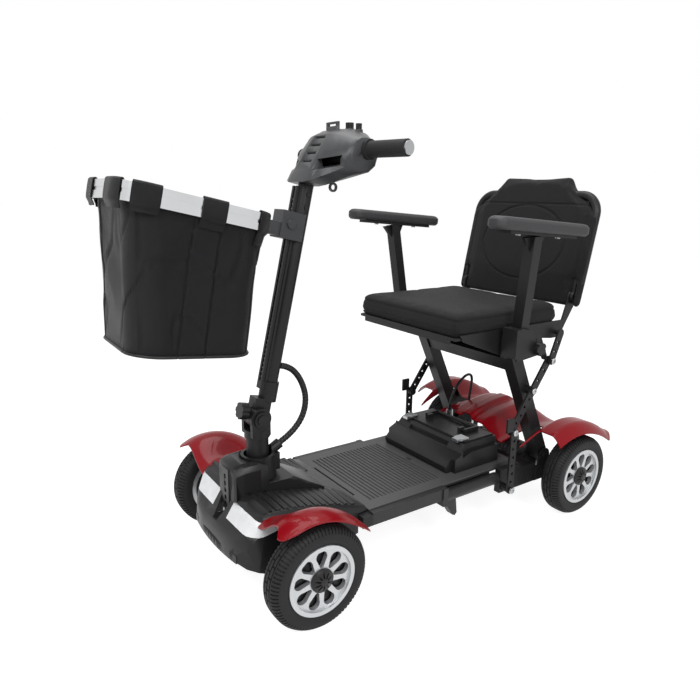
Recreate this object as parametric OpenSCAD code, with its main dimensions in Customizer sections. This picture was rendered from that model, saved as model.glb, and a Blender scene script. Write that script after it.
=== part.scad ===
// Folding four-wheel mobility scooter with a front basket.
// The front of the scooter is -Y, the rider's left is +X and the ground is z = 0.

/* [Wheels] */
// Outer radius of every tyre
tyre_r = 100; // [99:0.5:101]
// Width of every tyre
tyre_w = 50; // [46:1:51]
// Radius where the tyre sits on the rim
rim_r = 68; // [66:1:70]
// Number of spokes in a rim
spokes = 9; // [7:1:10]
// Distance between the front and rear axles
wheelbase = 758; // [756:1:762]
// Front wheel centre to the middle plane
front_track = 226; // [225:1:229]
// Rear wheel centre to the middle plane
rear_track = 216; // [215:1:219]

/* [Deck] */
// Height of the footboard's top
deck_z = 143; // [142:0.5:143.5]
// Half width of the footboard
deck_half = 150; // [147:1:152]
// Number of ribs across the footboard
deck_ribs = 20; // [12:1:22]

/* [Tiller] */
// Backward lean of the mast in degrees
mast_rake = 12.6; // [12.3:0.1:12.9]
// Height of the tiller's folding pivot
pivot_z = 334; // [333:1:336]
// Radius of the handlebar grips
grip_r = 15.5; // [14:0.5:16]
// Length of the handlebar that stands out of the head on each side
bar_len = 98; // [94:1:102]
// Backward sweep of the handlebar in degrees
bar_sweep = 11.5; // [10:0.5:12.5]

/* [Basket] */
// Width of the basket's rim
basket_w = 240; // [220:5:250]
// Depth of the basket's rim, front to back
basket_d = 266; // [250:2:270]
// Height of the aluminium rim
basket_rim_h = 30; // [24:1:32]

/* [Seat] */
// Width of the seat cushion
cushion_w = 346; // [336:2:346]
// Depth of the seat cushion
cushion_d = 325; // [315:1:327]
// Height of the cushion's top
seat_top = 526; // [522:1:526]
// Foot of an armrest post to the middle plane
arm_x = 203; // [202:1:205]
// Length of an armrest pad
pad_len = 285; // [260:5:290]
// Height of the armrest pads' top
pad_top = 722; // [710:2:730]
// Lean of the backrest in degrees
back_lean = 11.6; // [10.6:0.1:12]

/* [Fold] */
// Turn of the seat legs from in use to folded, in degrees
fold_angle = 52; // [48:1:53]

/* [Hidden] */
$fn = 48;

// Paints
BLACK = "#1d1e20";
GREY = "#3c3d40";
RED = "#a3101c";
SILVER = "#c9cbcd";
RUBBER = "#161617";
CLOTH = "#222225";
WHITE = "#eceded";

// Running clearance of a pin in its bore, and the gap between parts that pass each other
fit = 0.05;
gap = 0.3;

// Axles and steering
front_y = -wheelbase / 2;
rear_y = wheelbase / 2;
axle_r = 8;
king_x = 185;
king_r = 7;
shaft_r = 17;
stem_r = 22.5;
steer_arm = 45;
arm_pin_r = 4;
tie_z = 66;
beam_z0 = 82;
beam_h = 36;

// Side rails and rear frame
rail_x0 = 138;
rail_x1 = 165;
rail_z0 = 114;
rail_z1 = 141;
deck_front = -205;
deck_rear = 238;
rail_split = 0;
rear_box_y = 168;
rear_end = 493;

// Tiller pivot, and points of the mast in its own leaning frame
pivot_y = front_y - 2;
pivot_r = 7;
mast_y = 18;
mast_r = 15;
mast_bottom = 40;
mast_top = 480;
rail_top = 458;
rail_front = -6;
bar_from = [84, -179, 849];

// Basket in the leaning frame of the mast: front face, rim middle height and bag bottom
basket_front = -354;
basket_mid = 370;
bag_floor_front = 118;
bag_floor_back = 140;
front_end = pivot_y + basket_front * cos(mast_rake) + (basket_mid - basket_rim_h / 2) * sin(mast_rake);
frame_shift = -(front_end + rear_end) / 2;

// Fold linkage, each point as [y, z]
leg_foot = [322, 145];
leg_top = [178, 450];
link_foot = [180, 97];
link_joint = [180, 240];
brace_mid = [242, 328];
brace_top = [290, 396];
upper_aim = [28, 70];
leg_half = 16;
leg_x0 = 132;
leg_x1 = 164;
plate_x0 = 168;
plate_x1 = 172;
brace_x0 = 176;
brace_x1 = 181;
link_x0 = 184;
link_x1 = 189;
pin_r = 6;
bolt_r = 5;
bar_w = 20;

// Turns a [y, z] point by an angle, top towards the front
function turn(a, p) = [p[0] * cos(a) - p[1] * sin(a), p[0] * sin(a) + p[1] * cos(a)];
function angle_of(p) = atan2(p[1], p[0]);
// Front crossing of two circles
function crossing(a, ra, b, rb) =
    let (d = norm(b - a), u = (b - a) / d, s = (ra * ra - rb * rb + d * d) / (2 * d))
    a + s * u + sqrt(ra * ra - s * s) * [-u[1], u[0]];

// The upper links are cut to the length that closes the linkage both in use and folded
mid_folded = leg_foot + turn(fold_angle, brace_mid - leg_foot);
joint_folded = crossing(link_foot, norm(link_joint - link_foot), mid_folded, norm(brace_mid - link_joint));
brace_turn = angle_of(mid_folded - joint_folded) - angle_of(brace_mid - link_joint);
top_folded = mid_folded + turn(brace_turn, brace_top - brace_mid);
seat_drop = turn(fold_angle, leg_top - leg_foot) - (leg_top - leg_foot);
slack = brace_top - top_folded + seat_drop;
upper_pivot = brace_top - upper_aim * (slack * slack) / 2 / (upper_aim * slack);

// Seat
pan_z0 = 474;
pan_z1 = 480;
seat_front = -5;
back_pivot = [368, 537];
arm_pivot = [152, 455];
arm_w = 26;
arm_d = 24;

// Route of the wiring hose from the mast down to the collar on the stem
hose_r = 6.5;
hose_route = [
    [0, -325, 431], [0, -312, 427], [0, -297, 418], [0, -283, 402], [0, -272, 380], [0, -266, 355],
    [0, -268, 330], [0, -277, 308], [0, -292, 290], [0, -309, 277], [0, -325, 268], [0, -333, 263.5],
    [0, -341, 259]
];

// Route of the power lead from its plug up and down into the rear cover
lead_r = 3.5;
lead_route = [
    [-60, 214, 231], [-60, 217, 243], [-60, 224, 260], [-60, 237, 279], [-60, 254, 295], [-60, 272, 303],
    [-60, 285, 300], [-60, 290, 288], [-60, 289, 270], [-60, 286, 250], [-60, 283, 231]
];

// Helpers
module place() translate([0, frame_shift, 0]) children();
module both() {
    children();
    mirror([1, 0, 0]) children();
}
// Frame of the mast: its origin is the folding pivot and its z runs up the mast
module leaning() translate([0, pivot_y, pivot_z]) rotate([-mast_rake, 0, 0]) children();
module rod_x(r, x0, x1, at) translate([x0, at[0], at[1]]) rotate([0, 90, 0]) cylinder(r = r, h = x1 - x0);
module box(x0, x1, y0, y1, z0, z1) translate([x0, y0, z0]) cube([x1 - x0, y1 - y0, z1 - z0]);
// Side view outline in y and z, as thick as x0 to x1
module side_sheet(x0, x1) translate([x0, 0, 0]) rotate([90, 0, 90]) linear_extrude(x1 - x0) children();
// Front view outline in x and z, as thick as y0 to y1
module front_sheet(y0, y1) translate([0, y1, 0]) rotate([90, 0, 0]) linear_extrude(y1 - y0) children();
// Flat bar with round ends between two points of the side view
module flat_bar_2d(p, q, w) {
    translate(p) circle(d = w);
    translate(q) circle(d = w);
    side = w - 0.04;
    translate(p) rotate(angle_of(q - p)) translate([0, -side / 2]) square([norm(q - p), side]);
}
// Row of triangular lightening holes along a bar
module triangles_2d(p, q, count, size) {
    step = norm(q - p) / (count + 1);
    translate(p) rotate(angle_of(q - p)) for (i = [1:count]) {
        flip = i % 2 == 0 ? 1 : -1;
        tip = flip * size / 2;
        translate([i * step, 0]) polygon([[-size / 2, -tip], [size / 2, -tip], [0, tip]]);
    }
}
function mix(a, b, t) = a + (b - a) * t;
function clamp01(t) = min(1, max(0, t));
function ease(t) = let (c = clamp01(t)) c * c * (3 - 2 * c);

function total(v, i = 0) = i == len(v) - 1 ? v[i] : v[i] + total(v, i + 1);
function middle(ring) = total(ring) / len(ring);
function facing(ring) =
    let (c = middle(ring), n = len(ring))
    total([for (i = [0:n - 1]) cross(ring[i] - c, ring[(i + 1) % n] - c)]);
function flipped(faces, yes) = [for (f = faces) yes ? [for (i = [len(f) - 1:-1:0]) f[i]] : f];
// Closed solid through rings of points, each ring flat and with the same count
module loft(rings) {
    n = len(rings[0]);
    m = len(rings);
    points = [for (ring = rings) for (p = ring) p];
    lower = [for (j = [0:m - 2]) for (i = [0:n - 1]) [j * n + i, j * n + (i + 1) % n, (j + 1) * n + i]];
    upper = [
        for (j = [0:m - 2]) for (i = [0:n - 1])
            [j * n + (i + 1) % n, (j + 1) * n + (i + 1) % n, (j + 1) * n + i]
    ];
    first = [for (i = [n - 1:-1:0]) i];
    last = [for (i = [0:n - 1]) (m - 1) * n + i];
    four = [[3, 2, 0], [2, 1, 0], [last[0], last[1], last[2]], [last[0], last[2], last[3]]];
    caps = n == 4 ? four : [first, last];
    // Faces run clockwise seen from outside whichever way the rings turn
    along = facing(rings[0]) * (middle(rings[1]) - middle(rings[0]));
    polyhedron(points = points, faces = flipped(concat(lower, upper, caps), along > 0), convexity = 6);
}
// Closed sheet between a grid of points and a second grid under it
module sheet(top, under) {
    n = len(top[0]);
    m = len(top);
    k = n * m;
    points = concat([for (row = top) for (p = row) p], [for (row = under) for (p = row) p]);
    cells = [
        for (j = [0:m - 2]) for (i = [0:n - 2])
            [j * n + i, j * n + i + 1, (j + 1) * n + i + 1, (j + 1) * n + i]
    ];
    edge = concat(
        [for (i = [0:n - 1]) i], [for (j = [1:m - 1]) j * n + n - 1],
        [for (i = [n - 2:-1:0]) (m - 1) * n + i], [for (j = [m - 2:-1:1]) j * n]
    );
    e = len(edge);
    polyhedron(points = points, faces = concat(
        [for (c = cells) [c[0], c[2], c[1]]], [for (c = cells) [c[0], c[3], c[2]]],
        [for (c = cells) [k + c[0], k + c[1], k + c[2]]], [for (c = cells) [k + c[0], k + c[2], k + c[3]]],
        [for (i = [0:e - 1]) [edge[i], edge[(i + 1) % e], k + edge[(i + 1) % e]]],
        [for (i = [0:e - 1]) [edge[i], k + edge[(i + 1) % e], k + edge[i]]]
    ), convexity = 6);
}
// Ring of a round tube around point i of a route in the plane x = constant
function route_dir(route, i) =
    let (a = route[max(i - 1, 0)], b = route[min(i + 1, len(route) - 1)]) (b - a) / norm(b - a);
module swept_tube(route, r, sides_n = 10) {
    loft([
        for (i = [0:len(route) - 1])
            let (d = route_dir(route, i), up = [0, -d[2], d[1]], step = 360 / sides_n)
            [for (k = [0:sides_n - 1]) route[i] + r * (cos(k * step) * up - sin(k * step) * [1, 0, 0])]
    ]);
}
// Rounded rectangle in x and y as a list of points
function rounded(w, d, r, n = 5) = [
    for (c = [[1, 1, 0], [-1, 1, 90], [-1, -1, 180], [1, -1, 270]]) for (k = [0:n - 1])
        let (a = c[2] + 90 * k / (n - 1)) [c[0] * (w / 2 - r) + r * cos(a), c[1] * (d / 2 - r) + r * sin(a)]
];

// Frame
module front_frame() place() color(BLACK) difference() {
    union() {
        box(-king_x + 12, king_x - 12, front_y - 18, front_y + 18, beam_z0, beam_z0 + beam_h);
        translate([0, front_y, beam_z0 - 2]) cylinder(r = 27, h = 72);
        both() translate([king_x, front_y, beam_z0 - 4]) cylinder(r = 14, h = beam_h + 8);
        both() box(92, 116, front_y + 18, deck_front - 25, 92, 116);
        both() box(92, 116, deck_front - 45, deck_front - 25, 92, 120);
        box(-rail_x1, rail_x1, deck_front - 25, deck_front, 114, rail_z1 - 3);
    }
    translate([0, front_y, 0]) cylinder(r = shaft_r + fit, h = 200);
    both() translate([king_x, front_y, 0]) cylinder(r = king_r + fit, h = 200);
}

rail_tube_z = 116;
module side_rails() place() color(GREY) both() {
    box(rail_x0, rail_x1, deck_front, rail_split, rail_z0, rail_z1);
    box(rail_x0, rail_x1 + 3, rail_split - 14, rail_split, rail_tube_z - 16, rail_z1);
    translate([(rail_x0 + rail_x1) / 2, rail_split - 2, rail_tube_z])
        rotate([-90, 0, 0]) cylinder(r = 14, h = rear_box_y - rail_split + 2);
    // Skid foot
    side_sheet(rail_x0 + 6, rail_x1 - 4)
        polygon([[-8, 112], [30, 112], [36, 70], [30, 64], [22, 68], [6, 92], [-10, 98]]);
}

module rear_frame() place() color(BLACK) {
    difference() {
        union() {
            both() side_sheet(150, 166) polygon([
                [rear_box_y, 82], [346, 82], [346, 112], [302, 112],
                [292, 130], [242, 132], [234, 140], [rear_box_y, 140]
            ]);
            box(-150, 150, 262, 284, 96, 128);
            both() side_sheet(124, 129) {
                polygon([[284, 96], [346, 82], [340, 150], [306, 152], [284, 128]]);
                translate(leg_foot) circle(r = 18);
            }
            both() side_sheet(166, 170) {
                polygon([[290, 84], [346, 84], [339, 150], [305, 150]]);
                translate(leg_foot) circle(r = 18);
            }
            both() rod_x(9, 166, link_x0 - 1, link_foot);
            both() side_sheet(96, 104)
                polygon([[284, 96], [rear_y + 26, 82], [rear_y + 26, 118], [284, 128]]);
        }
        both() rod_x(18.02, 90, 110, [rear_y, 100]);
    }
    both() rod_x(pin_r, 124, 170, leg_foot);
    both() rod_x(pin_r + 4, 170, 174, leg_foot);
    both() rod_x(bolt_r, 166, link_x1 + 4, link_foot);
}

module drive_unit() place() color(GREY) {
    rod_x(18, -188, 188, [rear_y, 100]);
    both() rod_x(axle_r, 188, rear_track + 20, [rear_y, 100]);
    difference() {
        union() {
            rod_x(46, -34, 6, [rear_y, 104]);
            rod_x(36, 6, 86, [rear_y - 44, 112]);
            rod_x(30, 86, 90, [rear_y - 44, 112]);
            box(-30, 4, rear_y - 80, rear_y, 78, 140);
        }
        for (k = [0:5]) translate([14 + 12 * k, 0, 0]) difference() {
            rod_x(40, 0, 5, [rear_y - 44, 112]);
            rod_x(33, -1, 6, [rear_y - 44, 112]);
        }
    }
}

module controller_box() place() color(BLACK) {
    difference() {
        box(-76, 40, 204, 252, deck_z, 182);
        for (k = [0:4]) box(-66 + 20 * k, -58 + 20 * k, 240, 260, deck_z + 6, 176);
    }
    translate([-60, 214, 182]) cylinder(r = 9.5, h = 14);
    translate([-60, 214, 196]) cylinder(r = 7.5, h = 22);
    translate([-60, 214, 218]) cylinder(r = 5, h = 12.7);
}

module power_cable() place() color(RUBBER) swept_tube(lead_route, lead_r, 8);

module footboard() place() color(GREY) difference() {
    union() {
        box(-rail_x0 + gap, rail_x0 - gap, deck_front + gap, deck_rear, 128, deck_z);
        box(-deck_half, deck_half, deck_front + gap, deck_rear - 80, rail_z1 + 0.02, deck_z);
    }
    // Grooves that leave the ribs of the tread
    for (k = [0:deck_ribs - 1])
        box(-118, 118, deck_front + 26 + 10 * k, deck_front + 31 + 10 * k, deck_z - 2, deck_z + 1);
    box(-82, 82, deck_front + 8, deck_front + 13, deck_z - 6, deck_z + 1);
    box(-8, 8, 22, 30, deck_z - 6, deck_z + 1);
}

// Nose cover: sections from its front face back to the footboard
nose_sections = [
    // y, half width, top, bottom
    [-484, 60, 122, 92], [-478, 96, 134, 90], [-466, 122, 150, 84], [-448, 136, 178, 78],
    [-436, 139, 190, 74], [-420, 140, 194, 72], [-379, 142, 189, 68], [-320, 145, 178, 72],
    [-260, 149, 163, 90], [-206, 150, 147, 106]
];
function nose_half(y) = lookup(y, [for (s = nose_sections) [s[0], s[1]]]);
function nose_top(y) = lookup(y, [for (s = nose_sections) [s[0], s[2]]]);
function nose_ring(s, wall) =
    let (w = s[1] - wall, top = s[2] - wall, bottom = s[3] - (wall > 0 ? 30 : 0), r = 12)
    [for (p = [
        [w, bottom], [w, top - r - 14], [w - 2, top - r], [w - 7, top - 3], [w - 16, top], [w / 2, top + 1],
        [0, top + 2], [-w / 2, top + 1], [16 - w, top], [7 - w, top - 3], [2 - w, top - r],
        [-w, top - r - 14], [-w, bottom]
    ]) [p[0], s[0] + (wall > 0 && s[0] < -470 ? wall + 2 : 0), p[1]]];
nose_wall = 6;
lens_wall = 3;
module nose_outside() loft([for (s = nose_sections) nose_ring(s, 0)]);
module nose_inside(wall) loft([for (i = [1:len(nose_sections) - 1]) nose_ring(nose_sections[i], wall)]);
// Patch of the nose that a headlight fills, round its corner to under the fender
module lamp_zone(grow) side_sheet(33 - grow, 170) polygon([
    [-500, 150 - grow], [-440, 151 - grow], [-405 + grow, 158 - grow], [-403 + grow, 169 + grow],
    [-430, 176 + grow], [-446, 180 + grow], [-500, 181 + grow]
]);
module nose_cover() place() color(BLACK) difference() {
    union() {
        difference() {
            nose_outside();
            nose_inside(nose_wall);
        }
        // Ribs across both halves of the ramp
        for (k = [0:11]) let (y = -424 + 17 * k, top = nose_top(y + 4))
            both() box(54, 132, y, y + 8, top - 6, top + 2.5);
        // Lip along the bottom of the front face
        intersection() {
            translate([0, 140, 88]) difference() {
                cylinder(r = 626, h = 16, $fn = 160);
                translate([0, 0, -1]) cylinder(r = 612, h = 18, $fn = 160);
            }
            box(-100, 100, -490, -440, 86, 106);
        }
    }
    // Seats of the headlights
    both() difference() {
        lamp_zone(0.15);
        nose_inside(lens_wall + 0.02);
    }
    // Notch in front of the shroud's vent strip
    front_sheet(-500, -440) polygon([[-22, 260], [-19, 170], [-8, 136], [8, 136], [19, 170], [22, 260]]);
    // Arches for the front beam and the steering links
    box(-200, 200, front_y - 24, front_y + 24, 0, 124);
    box(-200, 200, -352, -316, 0, 80);
    box(-120, 120, -330, -200, 0, 126);
    box(-rail_x1, rail_x1, deck_front - 26, -190, 0, rail_z1);
    translate([0, front_y, 120]) cylinder(r = 30, h = 100);
}

module headlights() place() color(WHITE) both() intersection() {
    difference() {
        nose_outside();
        nose_inside(lens_wall);
    }
    lamp_zone(0);
}

shroud_sections = [
    // y, half width, bottom, top, corner rounding
    [-449, 34, 176, 238, 14], [-446, 41, 178, 248, 16], [-430, 44, 184, 253, 16], [-395, 46, 184, 253, 14],
    [-352, 48, 178, 236, 12], [-338, 49, 174, 216, 8], [-250, 51, 157, 166, 2]
];
module column_shroud() place() color(BLACK) difference() {
    union() {
        difference() {
            loft([
                for (s = shroud_sections) let (w = s[1], r = s[4])
                    [for (p = [[w, s[2]], [w, s[3] - r], [w - r * 0.3, s[3] - r * 0.3], [w - r, s[3]],
                        [r - w, s[3]], [r * 0.3 - w, s[3] - r * 0.3], [-w, s[3] - r], [-w, s[2]]])
                        [p[0], s[0], p[1]]]
            ]);
            loft([for (s = nose_sections) nose_ring([s[0], s[1] + 30, s[2], s[3]], 0)]);
        }
        // Vent strip that runs down into the notch of the nose
        front_sheet(-452, -444) polygon([[-16, 240], [-15, 170], [-5, 140], [5, 140], [15, 170], [16, 240]]);
    }
    for (k = [0:4]) translate([0, -434, 162 + 15 * k]) rotate([90, 0, 0]) cylinder(r = 5, h = 30);
    translate([0, front_y, 150]) cylinder(r = 28, h = 120);
    translate([0, front_y, 206]) cylinder(r = 40, h = 60);
    translate([-60, front_y, 206]) cube([120, 60, 60]);
}

// Front fenders: a thin crowned sheet from the nose's shoulder out over the wheel
fender_crest_x = 215;
fender_thick = 3;
fender_rows = 17;
fender_cols = [0, 0.1, 0.2, 0.3, 0.4, 0.5, 0.6, 0.7, 0.8, 0.87, 0.94, 1];
function fender_crest(y) = 226.5 - 0.0042 * pow(y + 390, 2);
function fender_start(v) =
    -447 - 13 * ease((v - 0.6) / 0.2) + 30 * (1 - sqrt(1 - pow(clamp01((v - 0.8) / 0.2), 2)));
function fender_x(u, v, y) = v < 0.6
    ? mix(nose_half(y) - 3, fender_crest_x, v / 0.6)
    : mix(fender_crest_x, 251 - 11 * pow(clamp01((u - 0.7) / 0.3), 2), (v - 0.6) / 0.4);
function fender_z(x, v, y) = v < 0.6
    ? mix(nose_top(y) - 6.3, fender_crest(y), ease(v / 0.6))
    : fender_crest(y) - 8.5 * pow((x - fender_crest_x) / 36, 2);
function fender_row(u, drop) = [
    for (v = fender_cols) let (y = mix(fender_start(v), -268, u), x = fender_x(u, v, y))
        [x, y, fender_z(x, v, y) - drop]
];
module front_fender() place() color(RED) sheet(
    [for (j = [0:fender_rows]) fender_row(j / fender_rows, 0)],
    [for (j = [0:fender_rows]) fender_row(j / fender_rows, fender_thick)]
);
module front_fender_left() front_fender();
module front_fender_right() mirror([1, 0, 0]) front_fender();

// Rear cover: one moulded shell with a hump over the drive and a wing over each wheel
cover_x = 252;
cover_thick = 3.5;
function wing_z(y) = 244 - 0.0028 * pow(y - 345, 2) + 8 * ease((y - 462) / 31);
function hump_z(y) = 240 - (y < 345 ? 0.0016 : 0.0046) * pow(y - 345, 2);
function valley_z(y) = 202 - 0.0012 * pow(y - 330, 2);
// Raised band along the middle of the hump
function spine_z(a, y) = 11 * (1 - ease((a - 13) / 7)) * (1 - ease((y - 350) / 40));
function cover_z(x, y) =
    let (a = abs(x), base = max(valley_z(y), 158), h = max(hump_z(y), 158) + spine_z(abs(x), y))
    let (middle = mix(h, base, ease((a - 48) / 62)))
    mix(middle, wing_z(y), ease((a - 150) / 44)) - 24 * pow(clamp01((a - 222) / (cover_x - 222)), 2);
function cover_front(a) = mix(216, 268, ease((a - 176) / 12));
function cover_back(a) =
    mix(452, rear_end, ease((a - 110) / 70)) - 28 * pow(clamp01((a - 214) / (cover_x - 214)), 2);
cover_half = [
    6, 13, 16.5, 20, 30, 48, 64, 80, 96, 110, 124, 138, 150, 160, 172, 184, 194, 204, 214, 224, 232, 240, 247,
    cover_x
];
cover_cols = concat([for (i = [len(cover_half) - 1:-1:0]) -cover_half[i]], [0], cover_half);
cover_rows = 16;
function cover_ring(j, drop) = [
    for (x = cover_cols) let (y = mix(cover_front(abs(x)), cover_back(abs(x)), j / cover_rows))
        [x, y, cover_z(x, y) - drop]
];
module rear_cover() place() color(RED) difference() {
    sheet([for (j = [0:cover_rows]) cover_ring(j, 0)], [for (j = [0:cover_rows]) cover_ring(j, cover_thick)]);
    // Notches in which the seat legs swing
    both() box(120, 176, 150, 352, 100, 300);
    // Notch for the power plug
    box(-76, -44, 200, 232, 100, 300);
}

// Battery on the footboard
bat_half = 124;
bail_y = 141;
bail_z = 213.5;
bail_pin_r = 3;
module battery_case() place() color(BLACK) difference() {
    union() {
        side_sheet(-bat_half, bat_half) polygon([
            [44, deck_z + gap], [40, 152], [40, 160], [52, 172], [82, 186], [84, 192], [96, 204], [202, 204],
            [202, deck_z + gap]
        ]);
        box(-108, 108, 104, 198, 203.9, 208);
        both() box(52, 60, bail_y - 8, bail_y + 8, 203, bail_z + 6);
    }
    both() box(112, 130, 30, 60, deck_z - 1, 214);
    both() side_sheet(bat_half - 10, bat_half + 1)
        polygon([[84, 176], [110, 186], [202, 186], [202, 210], [84, 210]]);
    box(-70, 70, 82, 90, 188, 210);
    both() rod_x(bail_pin_r + fit, 50, 70, [bail_y, bail_z]);
}
module battery_latches() place() color(SILVER) both() {
    box(78, 104, 96, 120, 208, 213);
    box(82, 100, 86, 96, 206, 213);
}
// Carrying bail that lies back on the case
module battery_handle() place() color(BLACK) {
    rod_x(4.5, -70, 70, [bail_y + 40, bail_z]);
    both() box(66, 72, bail_y - 2, bail_y + 44, bail_z - 4.5, bail_z + 4.5);
    both() rod_x(bail_pin_r, 53, 67, [bail_y, bail_z]);
}

// Steering
module steering_stem() place() color(BLACK) {
    translate([0, front_y, 60]) cylinder(r = shaft_r, h = 100);
    difference() {
        translate([0, front_y, 152 + gap]) cylinder(r = stem_r, h = 148);
        translate([0, front_y, 292]) cylinder(r = 12, h = 20);
    }
    // Pitman arm under the beam, with the pin that moves the tie rod
    translate([-12, front_y, 56]) cube([24, steer_arm, 6]);
    translate([0, front_y + steer_arm, 56]) cylinder(r = 12, h = 6);
    translate([0, front_y, 56]) cylinder(r = shaft_r, h = 6);
    translate([0, front_y + steer_arm, 60]) cylinder(r = arm_pin_r, h = 18);
    // Collar with the spout that takes the hose
    difference() {
        union() {
            translate([0, front_y, 207]) cylinder(r1 = 38, r2 = 35, h = 48);
            translate([-13, front_y, 214]) cube([26, 44, 36]);
            translate([0, -352, 252.8]) rotate([-60.6, 0, 0]) cylinder(r = 11, h = 26.4);
        }
        translate([0, front_y, 236]) cylinder(r = 29, h = 40);
        translate([0, -352, 252.8]) rotate([-60.6, 0, 0]) translate([0, 0, 8]) cylinder(r = 7, h = 30);
    }
    // Fork that holds the folding pivot
    difference() {
        union() {
            both() rod_x(22, 15, 25, [pivot_y, pivot_z]);
            both() box(15, 25, pivot_y - 20, pivot_y + 20, 298, pivot_z);
            translate([0, front_y, 292]) cylinder(r = 26, h = 17);
        }
        box(-14.5, 14.5, pivot_y - 40, pivot_y + 40, 309, 380);
    }
    rod_x(pivot_r, -30, 30, [pivot_y, pivot_z]);
    rod_x(16, 25, 31, [pivot_y, pivot_z]);
    rod_x(11, 31, 34, [pivot_y, pivot_z]);
    rod_x(13, -31, -25, [pivot_y, pivot_z]);
}
module knuckle() place() color(BLACK) {
    for (z = [beam_z0 - 14, beam_z0 + beam_h + 6])
        box(king_x - 12, king_x + 25, front_y - 14, front_y + 14, z, z + 8);
    box(king_x + 16, king_x + 25, front_y - 14, front_y + 14, beam_z0 - 14, beam_z0 + beam_h + 14);
    translate([king_x, front_y, beam_z0 - 14]) cylinder(r = king_r, h = beam_h + 28);
    rod_x(axle_r, king_x + 25, front_track + 20, [front_y, 100]);
    // Steering arm to the rear, with the pin of the tie rod
    translate([king_x - 9, front_y + 10, beam_z0 - 14]) cube([18, steer_arm - 10, 8]);
    translate([king_x, front_y + steer_arm, beam_z0 - 14]) cylinder(r = 9, h = 8);
    translate([king_x, front_y + steer_arm, tie_z - 10]) cylinder(r = arm_pin_r, h = 14);
}
module knuckle_left() knuckle();
module knuckle_right() mirror([1, 0, 0]) knuckle();
// Straight rod that joins both steering arms and the pitman arm
module tie_rod() place() color(GREY) difference() {
    union() {
        box(-king_x, king_x, front_y + steer_arm - 6, front_y + steer_arm + 6, tie_z - 3, tie_z + 1.7);
        for (x = [-king_x, 0, king_x])
            translate([x, front_y + steer_arm, tie_z - 3]) cylinder(r = 9, h = 4.7);
    }
    for (x = [-king_x, 0, king_x])
        translate([x, front_y + steer_arm, 40]) cylinder(r = arm_pin_r + fit, h = 60);
}

// Wheels, turned about X with the outer side towards the rider's left
module at_wheel(x, y) place() translate([x, y, 100]) rotate([0, 90, 0]) children();
module tyre() color(RUBBER) rotate_extrude($fn = 96) difference() {
    union() {
        shoulder = 13;
        translate([rim_r, -tyre_w / 2]) square([tyre_r - rim_r - shoulder, tyre_w]);
        translate([rim_r, shoulder - tyre_w / 2]) square([tyre_r - rim_r, tyre_w - 2 * shoulder]);
        for (s = [-1, 1]) translate([tyre_r - shoulder, s * (tyre_w / 2 - shoulder)]) circle(r = shoulder);
    }
    for (s = [-1, 0, 1]) translate([tyre_r - 2.5, s * 9 - 1.2]) square([4, 2.4]);
}
// Egg-shaped window between two spokes
module spoke_window() {
    translate([46, 0]) circle(r = 11.5);
    translate([29, 0]) circle(r = 4.5);
    polygon([[28, -4.5], [43.5, -11.2], [46, -11.5], [46, 11.5], [43.5, 11.2], [28, 4.5]]);
}
module rim() color(SILVER) difference() {
    union() {
        rotate_extrude($fn = 96) {
            translate([rim_r - 6, -tyre_w / 2 + 2]) square([6, tyre_w - 4]);
            translate([rim_r - 8, tyre_w / 2 - 6]) square([8, 6]);
            translate([rim_r - 8, -tyre_w / 2]) square([8, 4]);
        }
        translate([0, 0, 10]) linear_extrude(10) difference() {
            circle(r = rim_r - 4);
            for (k = [0:spokes - 1]) rotate(360 / spokes * (k + 0.5)) spoke_window();
        }
        translate([0, 0, -13]) cylinder(r = 21, h = 30);
    }
    translate([0, 0, -20]) cylinder(r = axle_r + fit, h = 60);
    translate([0, 0, 17]) cylinder(r = 18, h = 10);
}
// Domed cap with ten deep ribs
module hub_cap() color(BLACK) difference() {
    union() {
        translate([0, 0, 20]) cylinder(r = 23, h = 3);
        intersection() {
            translate([0, 0, -8]) sphere(r = 38);
            translate([0, 0, 22]) cylinder(r = 22, h = 10);
        }
    }
    for (k = [0:9]) rotate(36 * k) translate([7, -1.6, 25]) cube([20, 3.2, 8]);
    translate([0, 0, 16]) cylinder(r = 10, h = 6);
}
module front_left_tyre() at_wheel(front_track, front_y) tyre();
module front_left_rim() at_wheel(front_track, front_y) rim();
module front_left_cap() at_wheel(front_track, front_y) hub_cap();
module front_right_tyre() at_wheel(-front_track, front_y) tyre();
module front_right_rim() at_wheel(-front_track, front_y) mirror([0, 0, 1]) rim();
module front_right_cap() at_wheel(-front_track, front_y) mirror([0, 0, 1]) hub_cap();
module rear_left_tyre() at_wheel(rear_track, rear_y) tyre();
module rear_left_rim() at_wheel(rear_track, rear_y) rim();
module rear_left_cap() at_wheel(rear_track, rear_y) hub_cap();
module rear_right_tyre() at_wheel(-rear_track, rear_y) tyre();
module rear_right_rim() at_wheel(-rear_track, rear_y) mirror([0, 0, 1]) rim();
module rear_right_cap() at_wheel(-rear_track, rear_y) mirror([0, 0, 1]) hub_cap();

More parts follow.
